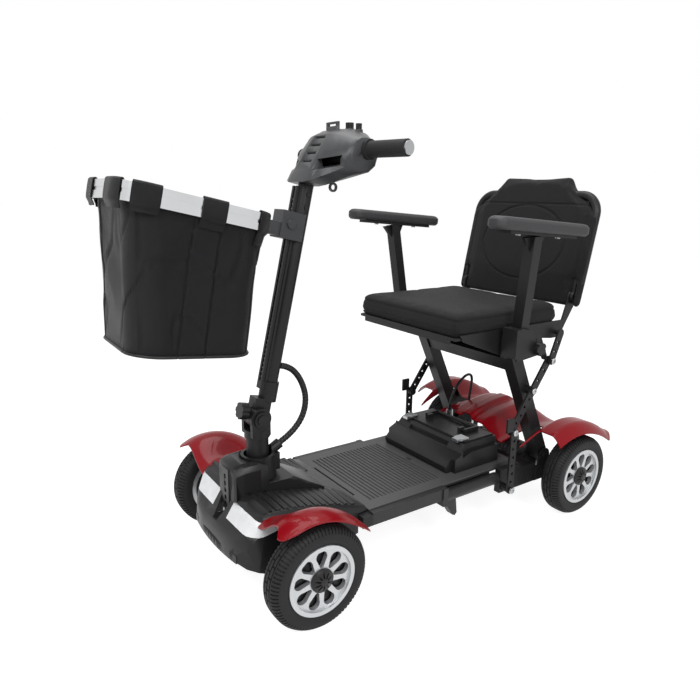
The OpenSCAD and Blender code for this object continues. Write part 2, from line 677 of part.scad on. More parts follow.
// Tiller
module mast_foot() place() color(BLACK) leaning() {
    difference() {
        union() {
            rod_x(22, -14, 14, [0, 0]);
            box(-14, 14, -14, 22, 0, 40);
            translate([0, mast_y, 34]) cylinder(r = 18.5, h = 40);
            translate([0, -12, knob_z]) rotate([90, 0, 0]) cylinder(r = 8, h = knob_base - 12);
        }
        rod_x(pivot_r + fit, -20, 20, [0, 0]);
        translate([0, mast_y, mast_bottom]) cylinder(r = mast_r, h = 60);
        box(-9, 9, -14, mast_y - 6, 58, 80);
        translate([0, -8, knob_z]) rotate([90, 0, 0]) cylinder(r = stud_r + fit, h = 30);
    }
}
module mast_tube() place() color(BLACK) leaning() {
    translate([0, mast_y, mast_bottom]) cylinder(r = mast_r, h = mast_top - mast_bottom);
    // Two bolts under the head
    for (z = [422, 446]) rod_x(4.5, 0, 17.5, [mast_y, z]);
}
module mast_rail() place() color(BLACK) leaning() difference() {
    box(-9, 9, rail_front, mast_y - 6, 58, rail_top);
    translate([0, mast_y, 50]) cylinder(r = mast_r, h = mast_top);
    box(-3, 3, rail_front - 1, rail_front + 4, 74, mast_top);
    both() box(7.5, 10, rail_front + 3, rail_front + 7, 74, mast_top);
}
knob_z = 10;
knob_base = 22.4;
stud_r = 4;
module hinge_knob() place() color(BLACK) leaning() translate([0, 0, knob_z]) rotate([90, 0, 0]) {
    translate([0, 0, 12]) cylinder(r = stud_r, h = 20);
    translate([0, 0, knob_base + gap]) difference() {
        cylinder(r = 17, h = 16);
        for (k = [0:6]) rotate(360 / 7 * k) translate([19.5, 0, -1]) cylinder(r = 5, h = 20);
    }
}

// Handlebar head: sections across the scooter, from the middle to the wing's end
head_middle = [
    [-286, 789], [-271, 812], [-250, 845], [-227, 878], [-205, 888], [-175, 890], [-148, 884], [-142, 864],
    [-150, 838], [-172, 812], [-210, 792], [-250, 781]
];
head_wing = [
    [-222, 820], [-225, 835], [-221, 850], [-210, 863], [-196, 870], [-178, 871], [-162, 866], [-152, 853],
    [-149, 838], [-156, 820], [-174, 808], [-202, 807]
];
head_flat = 28;
head_end = 87;
head_xs = [head_flat, 40, 52, 64, 76, 84, head_end];
// The wing's end stands square to the swept handlebar
function head_point(i, x) =
    let (a = abs(x), t = clamp01((a - head_flat) / 56), s = 0.4 * ease(t) + 0.6 * pow(t, 1.5))
    let (p = mix(head_middle[i], head_wing[i], s), k = a > 85 ? 0.9 : 1)
    let (y = bar_from[1] + (p[0] - bar_from[1]) * k, z = bar_from[2] + (p[1] - bar_from[2]) * k)
    [x - sign(x) * t * tan(bar_sweep) * (y - bar_from[1]), y, z];
lever_pin_r = 4;
lever_sweep = 26;
spindle_r = 3;
speed_at = [20, -175, 890.5];
key_at = [38, -166, 888.5];
module at_lever() translate([0, -232, 828.5]) rotate([14, 0, 0]) children();
// Frame of the left half of the handlebar, with x along the bar
module swept() translate(bar_from) rotate([0, 0, bar_sweep]) children();
module head_body() loft([
    for (x = concat([for (i = [len(head_xs) - 1:-1:0]) -head_xs[i]], [0], head_xs))
        [for (i = [0:11]) head_point(i, x)]
]);
module head_shell() place() color(GREY) {
    difference() {
        union() {
            head_body();
            translate(speed_at - [0, 0, 14]) cylinder(r = 10, h = 14);
            translate(key_at - [0, 0, 14]) cylinder(r = 8, h = 14);
            // Bag hook under the left wing
            side_sheet(38, 42) translate([-226, 780]) difference() {
                circle(r = 9);
                circle(r = 5);
            }
        }
        for (at = [speed_at, key_at]) translate(at - [0, 0, 10]) cylinder(r = spindle_r + fit, h = 20);
        both() swept() rod_x(11.02, -8.02, 20, [0, 0]);
        // Slot in which the drive lever rocks
        at_lever() both() translate([0, 0, -8.5]) linear_extrude(17) polygon([
            [34, -44], [80, -20], [80, 56], [60, 54], [34, 38], [-1, 14], [-1, -13], [34, -15]
        ]);
        // Louvres of the front panel
        for (k = [0:3]) translate([0, -260 + 10 * k, 828 + 15 * k])
            rotate([-33.5, 0, 0]) box(-19, 19, -14, 6, -3, 3);
        // Socket of the mast
        leaning() translate([0, mast_y, 380]) cylinder(r = mast_r, h = mast_top - 380);
    }
    at_lever() translate([0, 0, -10]) cylinder(r = lever_pin_r, h = 20);
    // Holder for a small device on top
    difference() {
        box(-21, 21, -203, -199, 884, 903);
        box(-13, 13, -210, -190, 895, 899);
    }
}
module handlebar() place() color(SILVER) both() swept() {
    rod_x(11, -8, bar_len, [0, 0]);
    rod_x(13, bar_len, bar_len + 4, [0, 0]);
}
module grips() place() color(RUBBER) both() swept() difference() {
    union() {
        rod_x(grip_r, 9, bar_len, [0, 0]);
        rod_x(grip_r + 3.5, 4, 10, [0, 0]);
    }
    rod_x(11, 0, bar_len + 10, [0, 0]);
}
// Drive lever: a rocker with a paddle at each end, on a pin inside the head
module throttle_lever() place() color(BLACK) at_lever() difference() {
    union() {
        cylinder(r = 9, h = 10, center = true);
        both() rotate([0, 0, lever_sweep]) {
            box(0, 70, -4, 4, -5, 5);
            box(54, 76, -8, 6, -6.5, 6.5);
        }
    }
    cylinder(r = lever_pin_r + fit, h = 30, center = true);
}
module ribbed_knob(r, h) {
    translate([0, 0, -8]) cylinder(r = spindle_r, h = 9);
    difference() {
        translate([0, 0, gap]) cylinder(r = r, h = h);
        for (k = [0:11]) rotate(30 * k) translate([r + 0.9, 0, 3]) cylinder(r = 1.9, h = h);
    }
}
module speed_knob() place() color(BLACK) translate(speed_at) ribbed_knob(8, 11);
module key_knob() place() color(BLACK) translate(key_at) ribbed_knob(6, 11);

module cable_hose() place() color(BLACK) swept_tube(hose_route, hose_r);

// Basket on the mast: quick-release bracket, aluminium rim and open bag
module basket_bracket() place() color(GREY) leaning() {
    difference() {
        box(-20, 20, -30, 20, 355, 408);
        box(-9, 9, rail_front, mast_y - 6, 340, 420);
        translate([0, mast_y, 340]) cylinder(r = mast_r, h = 90);
    }
    box(-16, 16, basket_front + basket_d, -29, 358, 384);
    rod_x(9, 20, 25, [-10, 384]);
}
basket_centre = [0, basket_front + basket_d / 2, basket_mid - basket_rim_h / 2];
module basket_rim() place() color(SILVER) leaning() translate(basket_centre) difference() {
    linear_extrude(basket_rim_h) polygon(rounded(basket_w, basket_d, 54, 9));
    translate([0, 0, -1]) linear_extrude(basket_rim_h + 2)
        polygon(rounded(basket_w - 8, basket_d - 8, 50, 9));
    // Flute along the outside
    translate([0, 0, basket_rim_h / 2 - 3]) linear_extrude(6) difference() {
        polygon(rounded(basket_w + 10, basket_d + 10, 59, 9));
        polygon(rounded(basket_w - 2.4, basket_d - 2.4, 52.8, 9));
    }
}
bag_wall = 4;
function bag_ring(z, t, inset) =
    let (back = mix(-78, -95, t), front = mix(-294, -340, t), mid = (front + back) / 2)
    let (w = mix(212, basket_w - 10, t) - 2 * inset, d = back - front - 2 * inset)
    [for (p = rounded(w, d, mix(26, 48, t) - inset / 2))
        let (along = clamp01((p[1] + mid - front) / (back - front)))
        [p[0], p[1] + mid, z + (1 - t) * mix(bag_floor_front, bag_floor_back, along)]];
module basket_bag() place() color(CLOTH) leaning() difference() {
    loft([for (t = [0, 0.08, 0.5, 1]) bag_ring(t * (basket_mid + 4), t, 0)]);
    loft([for (t = [0, 0.5, 1.02]) bag_ring(bag_wall * (1 - t) + t * (basket_mid + 6), t, bag_wall)]);
}

// Seat frame and its folding links
module seat_legs() place() color(BLACK) both() {
    difference() {
        side_sheet(leg_x0, leg_x1) flat_bar_2d(leg_foot, leg_top, 2 * leg_half);
        rod_x(pin_r + fit, 100, 200, leg_foot);
    }
    rod_x(pin_r, leg_x1 - 1, plate_x1 + 2, leg_top);
    rod_x(10, leg_x1 - 1, brace_x0 - 1, brace_mid);
    rod_x(bolt_r, leg_x1 - 1, brace_x1 + 2, brace_mid);
}
cross_at = mix(leg_foot, leg_top, 0.815);
module leg_crossbar() place() color(BLACK) side_sheet(-leg_x0, leg_x0)
    translate(cross_at) rotate(angle_of(leg_top - leg_foot)) square([34, 24], center = true);
module braces() place() color(BLACK) both() {
    difference() {
        side_sheet(brace_x0, brace_x1) difference() {
            flat_bar_2d(link_joint, brace_top, bar_w);
            translate(brace_mid) circle(r = bolt_r + fit);
            triangles_2d(link_joint, brace_mid, 4, 9);
            triangles_2d(brace_mid, brace_top, 2, 9);
        }
    }
    side_sheet(leg_x1 + 6, brace_x0) translate(link_joint) circle(r = 9);
    rod_x(bolt_r, brace_x1 - 1, link_x1 + 3, brace_top);
}
module lower_links() place() color(BLACK) both() side_sheet(link_x0, link_x1) difference() {
    union() {
        flat_bar_2d(link_foot, link_joint, bar_w);
        // Stop in front of the joint
        translate(link_joint + [-26, 4]) square([22, 32]);
    }
    translate(link_foot) circle(r = bolt_r + fit);
    triangles_2d(link_foot, link_joint, 6, 9);
}
module upper_links() place() color(BLACK) both() side_sheet(link_x0, link_x1) difference() {
    flat_bar_2d(brace_top, upper_pivot, bar_w);
    translate(brace_top) circle(r = bolt_r + fit);
    triangles_2d(brace_top, upper_pivot, 2, 9);
}

// Seat
module seat_pan() place() color(BLACK) difference() {
    union() {
        box(-plate_x0, plate_x0, seat_front, seat_front + cushion_d + 4, pan_z0, pan_z1);
        box(-150, 150, seat_front, seat_front + 4, pan_z0 - 10, pan_z1);
    }
    for (y = [60:70:300]) box(-120, 120, y, y + 34, pan_z0 - 1, pan_z0 + 3);
}
module side_plates() place() color(BLACK) both() {
    difference() {
        union() {
            side_sheet(plate_x0, plate_x1) {
                polygon([
                    [seat_front + 8, pan_z1 + 6], [seat_front + 22, 470], [128, 428], [200, 424], [212, 440],
                    [252, 452], [300, 446], [330, 446], [350, 478], [384, 530], [356, 545], [336, pan_z1 + 6]
                ]);
                translate(back_pivot) circle(r = 16);
                flat_bar_2d([250, 466], [284, 404], bar_w - 4);
            }
            // Housing in which the armrest turns
            box(plate_x1, arm_x - arm_w / 2 - 7, 130, 172, 424, 470);
            for (x = [arm_x - arm_w / 2 - 7, arm_x + arm_w / 2 + 1]) side_sheet(x, x + 6) {
                polygon([[126, 424], [190, 430], [193, 456], [176, 474], [172, 488], [134, 496], [126, 470]]);
            }
            box(arm_x - arm_w / 2 - 7, arm_x + arm_w / 2 + 7, 120, 138.5, 430, 494);
            // Star knob that clamps the armrest
            translate([arm_x + arm_w / 2 + 7, 0, 0]) side_sheet(0, 12) translate([190, 446]) difference() {
                circle(r = 15);
                for (k = [0:4]) rotate(72 * k) translate([16.5, 0]) circle(r = 4.5);
            }
        }
        rod_x(pin_r + fit, 160, 180, leg_top);
    }
    rod_x(bolt_r, plate_x1 - 1, link_x0 - 1, upper_pivot);
    rod_x(pin_r, plate_x1 - 1, 182, back_pivot);
    rod_x(pin_r, arm_x - arm_w / 2 - 7, arm_x + arm_w / 2 + 7, arm_pivot);
}
module seat_cushion() place() color(CLOTH) loft([
    for (s = [[480, 8], [487, 6.5], [492, 0], [seat_top - 10, 0], [seat_top - 3, 5], [seat_top, 16]])
        [for (p = rounded(cushion_w - 2 * s[1], cushion_d - 2 * s[1], 30 - s[1] / 2))
            [p[0], p[1] + seat_front + cushion_d / 2, s[0]]]
]);

// Backrest, in the leaning frame of its hinge
module reclined() translate([0, back_pivot[0], back_pivot[1]]) rotate([-back_lean, 0, 0]) children();
back_tube_x = 184;
back_tube_r = 10;
back_bend = 46;
back_height = 240;
module backrest_frame() place() color(BLACK) reclined() {
    both() difference() {
        union() {
            side_sheet(174, 180) {
                circle(r = 15);
                translate([-10, 0]) square([20, 40]);
            }
            translate([back_tube_x, 0, 32]) cylinder(r = back_tube_r, h = back_height - back_bend - 32);
            translate([back_tube_x - back_bend, 0, back_height - back_bend]) rotate([90, 0, 0])
                rotate_extrude(angle = 90) translate([back_bend, 0]) circle(r = back_tube_r);
        }
        rod_x(pin_r + fit, 150, 200, [0, 0]);
    }
    rod_x(back_tube_r, back_bend - back_tube_x, back_tube_x - back_bend, [0, back_height]);
}
// Padded sleeve over the tube, with a flap above it: height, half width and half thickness
cover_sections = [
    [-21, 190, 10], [-14, 195, 14], [188, 196, 14], [218, 170, 14],
    [262, 118, 14], [280, 105, 12], [284, 100, 9]
];
module backrest_cover() place() color(CLOTH) reclined() difference() {
    loft([
        for (s = cover_sections)
            [[s[1], s[2], s[0]], [-s[1], s[2], s[0]], [-s[1], -s[2], s[0]], [s[1], -s[2], s[0]]]
    ]);
    rod_x(back_tube_r + 0.02, back_bend - back_tube_x, back_tube_x - back_bend, [0, back_height]);
    both() {
        translate([back_tube_x - back_bend, 0, back_height - back_bend]) rotate([90, 0, 0])
            rotate_extrude(angle = 90) translate([back_bend, 0]) circle(r = back_tube_r + 0.02);
        translate([back_tube_x, 0, 31]) cylinder(r = back_tube_r + 0.02, h = back_height - back_bend - 31);
        // Slot for the hinge
        box(166.5, 183, -20, 20, -30, 42);
    }
}

// Armrests: a post on the seat's pivot, splayed above its housing, with a padded top
arm_knee = 498;
pad_at = [236, 151, pad_top];
module at_knee() translate([arm_x, arm_pivot[0], arm_knee]) rotate([4, 8, 0]) children();
module at_pad() translate(pad_at) rotate([-4.5, 0, 0]) children();
module arm_post() place() color(BLACK) difference() {
    union() {
        translate([arm_x - arm_w / 2, arm_pivot[0] - arm_d / 2, arm_pivot[1]])
            cube([arm_w, arm_d, arm_knee - arm_pivot[1]]);
        rod_x(arm_d / 2, arm_x - arm_w / 2, arm_x + arm_w / 2, arm_pivot);
        at_knee() box(-arm_w / 2, arm_w / 2, -arm_d / 2, arm_d / 2, -3, 195.5);
        at_knee() side_sheet(-4, 4) polygon([[-32, 194], [32, 194], [12, 163], [-12, 163]]);
        at_pad() box(-20, 14, -104, 104, -32, -26);
    }
    rod_x(pin_r + fit, 150, 300, arm_pivot);
}
module arm_pad() place() color(RUBBER) at_pad() loft([
    for (s = [[-26, 5], [-20, 0], [-7, 0], [-2, 4], [0, 10]])
        [for (p = rounded(48 - 2 * s[1], pad_len - 2 * s[1], 20 - s[1] / 2)) [p[0], p[1], s[0]]]
]);
module arm_post_left() arm_post();
module arm_pad_left() arm_pad();
module arm_post_right() mirror([1, 0, 0]) arm_post();
module arm_pad_right() mirror([1, 0, 0]) arm_pad();

front_frame();
side_rails();
rear_frame();
footboard();
nose_cover();
headlights();
column_shroud();
front_fender_left();
front_fender_right();
rear_cover();
drive_unit();
controller_box();
power_cable();
battery_case();
battery_latches();
battery_handle();
steering_stem();
knuckle_left();
knuckle_right();
tie_rod();
front_left_tyre();
front_left_rim();
front_left_cap();
front_right_tyre();
front_right_rim();
front_right_cap();
rear_left_tyre();
rear_left_rim();
rear_left_cap();
rear_right_tyre();
rear_right_rim();
rear_right_cap();
mast_foot();
mast_tube();
mast_rail();
head_shell();
handlebar();
grips();
basket_bracket();
basket_rim();
basket_bag();
hinge_knob();
throttle_lever();
speed_knob();
key_knob();
cable_hose();
seat_legs();
leg_crossbar();
braces();
lower_links();
upper_links();
seat_pan();
side_plates();
seat_cushion();
backrest_frame();
backrest_cover();
arm_post_left();
arm_pad_left();
arm_post_right();
arm_pad_right();
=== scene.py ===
# %% [markdown]
# # Folding mobility scooter The rigid parts come from the CAD model, which is loaded as a fixed frame in metres.
# This lesson gives each of them its finish, sews the soft parts and adds the small things that a drawing leaves
# out. The front of the scooter is -Y.

# %% Load the frame
import math

import bmesh
import bpy
from mathutils import Matrix, Vector, noise


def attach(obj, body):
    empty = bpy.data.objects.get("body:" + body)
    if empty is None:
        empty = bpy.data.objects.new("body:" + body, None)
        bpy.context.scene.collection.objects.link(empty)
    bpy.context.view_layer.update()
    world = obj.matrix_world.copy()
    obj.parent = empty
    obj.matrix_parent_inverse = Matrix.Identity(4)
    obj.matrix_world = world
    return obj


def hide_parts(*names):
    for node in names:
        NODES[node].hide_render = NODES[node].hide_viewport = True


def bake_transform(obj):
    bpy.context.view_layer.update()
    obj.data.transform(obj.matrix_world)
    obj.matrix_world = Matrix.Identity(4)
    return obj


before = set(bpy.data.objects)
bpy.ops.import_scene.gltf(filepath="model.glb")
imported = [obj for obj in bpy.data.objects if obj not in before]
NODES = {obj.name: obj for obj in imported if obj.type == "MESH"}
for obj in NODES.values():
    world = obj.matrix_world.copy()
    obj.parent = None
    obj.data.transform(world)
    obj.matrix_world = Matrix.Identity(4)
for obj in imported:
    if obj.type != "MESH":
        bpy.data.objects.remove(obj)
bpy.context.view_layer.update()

# %% [markdown]
# The drawing counts millimetres from the middle of the wheelbase. One helper turns such a point into metres in
# the frame's own axes, so that every later number can be read against the drawing.

# %% Points of the drawing
SHIFT = 78.017


def at(x, y, z):
    return Vector((x / 1000, (y + SHIFT) / 1000, z / 1000))


RAKE = math.radians(12.6)
MAST = at(0, -381, 334)


def on_mast(x, y, z):
    """A point in the leaning frame of the mast, whose origin is the folding pivot."""
    c, s = math.cos(RAKE), math.sin(RAKE)
    return MAST + Vector((x, y * c + z * s, z * c - y * s)) / 1000


# %% [markdown]
# The photograph was taken from the front left, a little above the handlebar, with a fairly wide lens. The
# camera's place and turn were found from the wheels and the frame, so the model can be laid over the photograph.

# %% Camera
def add_camera():
    azimuth, elevation, roll = (math.radians(a) for a in (55.16, 14.16, 0.77))
    level = math.cos(elevation)
    back = Vector((math.sin(azimuth) * level, -math.cos(azimuth) * level, math.sin(elevation)))
    right = Vector((math.cos(azimuth), math.sin(azimuth), 0))
    up = back.cross(right)
    right2 = math.cos(roll) * right + math.sin(roll) * up
    up2 = math.cos(roll) * up - math.sin(roll) * right
    data = bpy.data.cameras.new("camera")
    data.lens = 31.96
    data.sensor_width = 36
    data.clip_start, data.clip_end = 0.05, 50
    camera = bpy.data.objects.new("camera", data)
    bpy.context.collection.objects.link(camera)
    turn = Matrix((right2, up2, back)).transposed().to_4x4()
    camera.matrix_world = Matrix.Translation(at(1070.4, -898.4, 769.4)) @ turn
    bpy.context.scene.camera = camera
    return camera


camera = add_camera()
print("camera at", [round(v, 3) for v in camera.location])

# %% [markdown]
# A product shot has a white sweep and large soft lamps. The floor shines a little by itself, so it stays white,
# and keeps the soft shadow under the wheels. The lamps stand where the photograph's highlights come from.

# %% Studio
def nodes_of(material):
    material.use_nodes = True
    tree = material.node_tree
    tree.nodes.clear()
    return tree


def seen_directly(tree):
    """One for rays from the camera, from a mirror or through glass; nothing for the soft light that bounces about."""
    path = tree.nodes.new("ShaderNodeLightPath")
    first = tree.nodes.new("ShaderNodeMath")
    second = tree.nodes.new("ShaderNodeMath")
    first.operation = second.operation = "MAXIMUM"
    tree.links.new(path.outputs["Is Camera Ray"], first.inputs[0])
    tree.links.new(path.outputs["Is Transmission Ray"], first.inputs[1])
    tree.links.new(first.outputs[0], second.inputs[0])
    tree.links.new(path.outputs["Is Glossy Ray"], second.inputs[1])
    return second.outputs[0]


def add_studio():
    bpy.ops.object.select_all(action="DESELECT")
    bpy.ops.mesh.primitive_plane_add(size=60, location=(0, 0, -0.0005))
    floor = bpy.context.object
    floor.name = "floor"
    paint = bpy.data.materials.new("white_sweep")
    tree = nodes_of(paint)
    out = tree.nodes.new("ShaderNodeOutputMaterial")
    mix = tree.nodes.new("ShaderNodeMixShader")
    glow = tree.nodes.new("ShaderNodeEmission")
    matte = tree.nodes.new("ShaderNodeBsdfDiffuse")
    glow.inputs["Color"].default_value = (1, 1, 1, 1)
    glow.inputs["Strength"].default_value = 1.48
    matte.inputs["Color"].default_value = (0.9, 0.9, 0.9, 1)
    share = tree.nodes.new("ShaderNodeMath")
    share.operation = "MULTIPLY"
    share.inputs[1].default_value = 0.6
    tree.links.new(seen_directly(tree), share.inputs[0])
    tree.links.new(share.outputs[0], mix.inputs[0])
    tree.links.new(matte.outputs[0], mix.inputs[1])
    tree.links.new(glow.outputs[0], mix.inputs[2])
    tree.links.new(mix.outputs[0], out.inputs["Surface"])
    floor.data.materials.append(paint)

    world = bpy.data.worlds.new("studio")
    bpy.context.scene.world = world
    tree = nodes_of(world)
    out = tree.nodes.new("ShaderNodeOutputWorld")
    seen = tree.nodes.new("ShaderNodeBackground")
    fill = tree.nodes.new("ShaderNodeBackground")
    mix = tree.nodes.new("ShaderNodeMixShader")
    seen.inputs["Color"].default_value = (1, 1, 1, 1)
    seen.inputs["Strength"].default_value = 1.0
    fill.inputs["Color"].default_value = (0.97, 0.985, 1, 1)
    fill.inputs["Strength"].default_value = 0.32
    tree.links.new(seen_directly(tree), mix.inputs[0])
    tree.links.new(fill.outputs[0], mix.inputs[1])
    tree.links.new(seen.outputs[0], mix.inputs[2])
    tree.links.new(mix.outputs[0], out.inputs["Surface"])


def add_lamp(name, place, aim, size, power):
    data = bpy.data.lights.new(name, "AREA")
    data.shape = "RECTANGLE"
    data.size, data.size_y = size
    data.energy = power
    lamp = bpy.data.objects.new(name, data)
    bpy.context.collection.objects.link(lamp)
    lamp.location = place
    lamp.rotation_euler = (Vector(aim) - Vector(place)).to_track_quat("-Z", "Y").to_euler()


add_studio()
add_lamp("key", (1.2, -2.2, 2.6), (0, 0, 0.4), (1.6, 1.2), 55)
add_lamp("side", (2.4, -0.3, 2.0), (0, 0, 0.4), (0.9, 1.2), 36)
add_lamp("top", (-0.4, 0.2, 2.8), (0, 0, 0.3), (1.8, 1.8), 40)
scene = bpy.context.scene
scene.view_settings.view_transform = "Standard"
print("studio ready")

# %% [markdown]
# Each finish is one Principled shader with a shared node group behind it. The group mixes a fine grain, which
# roughens the surface and its normal, with soft cloudy patches, which change the colour and the gloss a little,
# as handling and dust do on the real scooter.

# %% Shared surface group
def make_surface_group():
    group = bpy.data.node_groups.new("worn_surface", "ShaderNodeTree")
    face = group.interface
    face.new_socket("Colour", in_out="INPUT", socket_type="NodeSocketColor")
    for name in ("Roughness", "Grain Scale", "Grain Depth", "Cloud Scale", "Cloud Amount"):
        face.new_socket(name, in_out="INPUT", socket_type="NodeSocketFloat")
    face.new_socket("Colour", in_out="OUTPUT", socket_type="NodeSocketColor")
    face.new_socket("Roughness", in_out="OUTPUT", socket_type="NodeSocketFloat")
    face.new_socket("Normal", in_out="OUTPUT", socket_type="NodeSocketVector")
    n, link = group.nodes, group.links
    gin, gout = n.new("NodeGroupInput"), n.new("NodeGroupOutput")
    place = n.new("ShaderNodeTexCoord")
    grain = n.new("ShaderNodeTexNoise")
    cloud = n.new("ShaderNodeTexNoise")
    grain.inputs["Detail"].default_value = 2.0
    cloud.inputs["Detail"].default_value = 4.0
    link.new(place.outputs["Object"], grain.inputs["Vector"])
    link.new(place.outputs["Object"], cloud.inputs["Vector"])
    link.new(gin.outputs["Grain Scale"], grain.inputs["Scale"])
    link.new(gin.outputs["Cloud Scale"], cloud.inputs["Scale"])
    # Clouds lighten the colour and dull the gloss
    centre = n.new("ShaderNodeMath")
    centre.operation = "SUBTRACT"
    centre.inputs[1].default_value = 0.5
    link.new(cloud.outputs[0], centre.inputs[0])
    swing = n.new("ShaderNodeMath")
    swing.operation = "MULTIPLY"
    link.new(centre.outputs[0], swing.inputs[0])
    link.new(gin.outputs["Cloud Amount"], swing.inputs[1])
    bright = n.new("ShaderNodeMath")
    bright.operation = "ADD"
    bright.inputs[1].default_value = 1.0
    link.new(swing.outputs[0], bright.inputs[0])
    tint = n.new("ShaderNodeVectorMath")
    tint.operation = "SCALE"
    link.new(gin.outputs["Colour"], tint.inputs[0])
    link.new(bright.outputs[0], tint.inputs["Scale"])
    link.new(tint.outputs[0], gout.inputs["Colour"])
    half = n.new("ShaderNodeMath")
    half.operation = "MULTIPLY"
    half.inputs[1].default_value = 0.5
    link.new(swing.outputs[0], half.inputs[0])
    rough = n.new("ShaderNodeMath")
    rough.operation = "ADD"
    rough.use_clamp = True
    link.new(gin.outputs["Roughness"], rough.inputs[0])
    link.new(half.outputs[0], rough.inputs[1])
    link.new(rough.outputs[0], gout.inputs["Roughness"])
    bump = n.new("ShaderNodeBump")
    bump.inputs["Distance"].default_value = 0.0006
    link.new(grain.outputs[0], bump.inputs["Height"])
    link.new(gin.outputs["Grain Depth"], bump.inputs["Strength"])
    link.new(bump.outputs[0], gout.inputs["Normal"])
    return group


SURFACE = make_surface_group()


def make_weave_group():
    """Two crossing waves on the cloth's own flat coordinates: high on the threads, low in the holes."""
    group = bpy.data.node_groups.new("woven_cloth", "ShaderNodeTree")
    group.interface.new_socket("Threads", in_out="INPUT", socket_type="NodeSocketFloat")
    group.interface.new_socket("Height", in_out="OUTPUT", socket_type="NodeSocketFloat")
    n, link = group.nodes, group.links
    gin, gout = n.new("NodeGroupInput"), n.new("NodeGroupOutput")
    flat = n.new("ShaderNodeUVMap")
    flat.uv_map = "flat"
    scale = n.new("ShaderNodeVectorMath")
    scale.operation = "SCALE"
    split = n.new("ShaderNodeSeparateXYZ")
    link.new(flat.outputs[0], scale.inputs[0])
    link.new(gin.outputs["Threads"], scale.inputs["Scale"])
    link.new(scale.outputs[0], split.inputs[0])
    waves = []
    for axis in ("X", "Y"):
        wave = n.new("ShaderNodeMath")
        wave.operation = "SINE"
        link.new(split.outputs[axis], wave.inputs[0])
        waves.append(wave)
    cross = n.new("ShaderNodeMath")
    cross.operation = "MULTIPLY"
    link.new(waves[0].outputs[0], cross.inputs[0])
    link.new(waves[1].outputs[0], cross.inputs[1])
    even = n.new("ShaderNodeMath")
    even.operation = "MULTIPLY_ADD"
    even.inputs[1].default_value = even.inputs[2].default_value = 0.5
    link.new(cross.outputs[0], even.inputs[0])
    link.new(even.outputs[0], gout.inputs["Height"])
    return group


WEAVE = make_weave_group()


def finish(name, colour, rough, metal=0.0, grain=(900, 0.1), cloud=(9, 0.25), coat=0.0, sheen=0.0, spec=0.5,
           threads=0):
    material = bpy.data.materials.new(name)
    tree = nodes_of(material)
    out = tree.nodes.new("ShaderNodeOutputMaterial")
    shader = tree.nodes.new("ShaderNodeBsdfPrincipled")
    worn = tree.nodes.new("ShaderNodeGroup")
    worn.node_tree = SURFACE
    worn.inputs["Colour"].default_value = (*colour, 1)
    worn.inputs["Roughness"].default_value = rough
    worn.inputs["Grain Scale"].default_value, worn.inputs["Grain Depth"].default_value = grain
    worn.inputs["Cloud Scale"].default_value, worn.inputs["Cloud Amount"].default_value = cloud
    shader.inputs["Metallic"].default_value = metal
    shader.inputs["Specular IOR Level"].default_value = spec
    shader.inputs["Coat Weight"].default_value = coat
    shader.inputs["Coat Roughness"].default_value = 0.04
    shader.inputs["Sheen Weight"].default_value = sheen
    shader.inputs["Sheen Roughness"].default_value = 0.6
    tree.links.new(worn.outputs["Colour"], shader.inputs["Base Color"])
    tree.links.new(worn.outputs["Roughness"], shader.inputs["Roughness"])
    tree.links.new(worn.outputs["Normal"], shader.inputs["Normal"])
    if threads:
        weave = tree.nodes.new("ShaderNodeGroup")
        weave.node_tree = WEAVE
        weave.inputs["Threads"].default_value = threads
        relief = tree.nodes.new("ShaderNodeBump")
        relief.inputs["Strength"].default_value = 0.7
        relief.inputs["Distance"].default_value = 0.0008
        tree.links.new(weave.outputs["Height"], relief.inputs["Height"])
        tree.links.new(worn.outputs["Normal"], relief.inputs["Normal"])
        tree.links.new(relief.outputs[0], shader.inputs["Normal"])
    tree.links.new(shader.outputs[0], out.inputs["Surface"])
    return material


def paint(obj, material):
    obj.data.materials.clear()
    obj.data.materials.append(material)


powder_black = finish("powder_black", (0.011, 0.011, 0.012), 0.4, grain=(1400, 0.18), spec=0.22)
moulded_black = finish("moulded_black", (0.012, 0.012, 0.013), 0.36, grain=(1600, 0.12), spec=0.25)
gloss_red = finish("gloss_red", (0.21, 0.002, 0.006), 0.3, grain=(300, 0.01), cloud=(6, 0.12), coat=0.2, spec=0.12)
deck_grey = finish("deck_grey", (0.065, 0.065, 0.065), 0.55, grain=(1200, 0.2), spec=0.35)
rail_grey = finish("rail_grey", (0.018, 0.018, 0.019), 0.42, grain=(1500, 0.15), spec=0.3)
head_grey = finish("head_grey", (0.032, 0.033, 0.035), 0.36, grain=(1500, 0.1), spec=0.3)
tyre_rubber = finish("tyre_rubber", (0.014, 0.014, 0.015), 0.6, grain=(700, 0.2), spec=0.2)
rim_silver = finish("rim_silver", (0.5, 0.51, 0.52), 0.36, metal=0.7, grain=(900, 0.04))
bright_metal = finish("bright_metal", (0.42, 0.43, 0.44), 0.3, metal=1.0, grain=(500, 0.05))
polished_rim = finish("polished_rim", (0.6, 0.61, 0.62), 0.24, metal=1.0, grain=(420, 0.05))
lens_white = finish("lens_white", (0.72, 0.73, 0.74), 0.15, grain=(90, 0.5), cloud=(40, 0.35), coat=0.6)
foam_black = finish("foam_black", (0.012, 0.012, 0.013), 0.75, grain=(900, 0.45), spec=0.3)
cloth_black = finish("cloth_black", (0.006, 0.006, 0.007), 0.34, grain=(1500, 0.25), sheen=0.01, spec=0.16,
                     threads=5000)
mesh_black = finish("mesh_black", (0.007, 0.007, 0.008), 0.7, grain=(1500, 0.3), sheen=0.03, spec=0.15, threads=2400)
pad_rubber = finish("pad_rubber", (0.03, 0.03, 0.032), 0.55, grain=(1100, 0.3), spec=0.35)
cast_grey = finish("cast_grey", (0.16, 0.16, 0.165), 0.5, metal=0.6, grain=(500, 0.3))

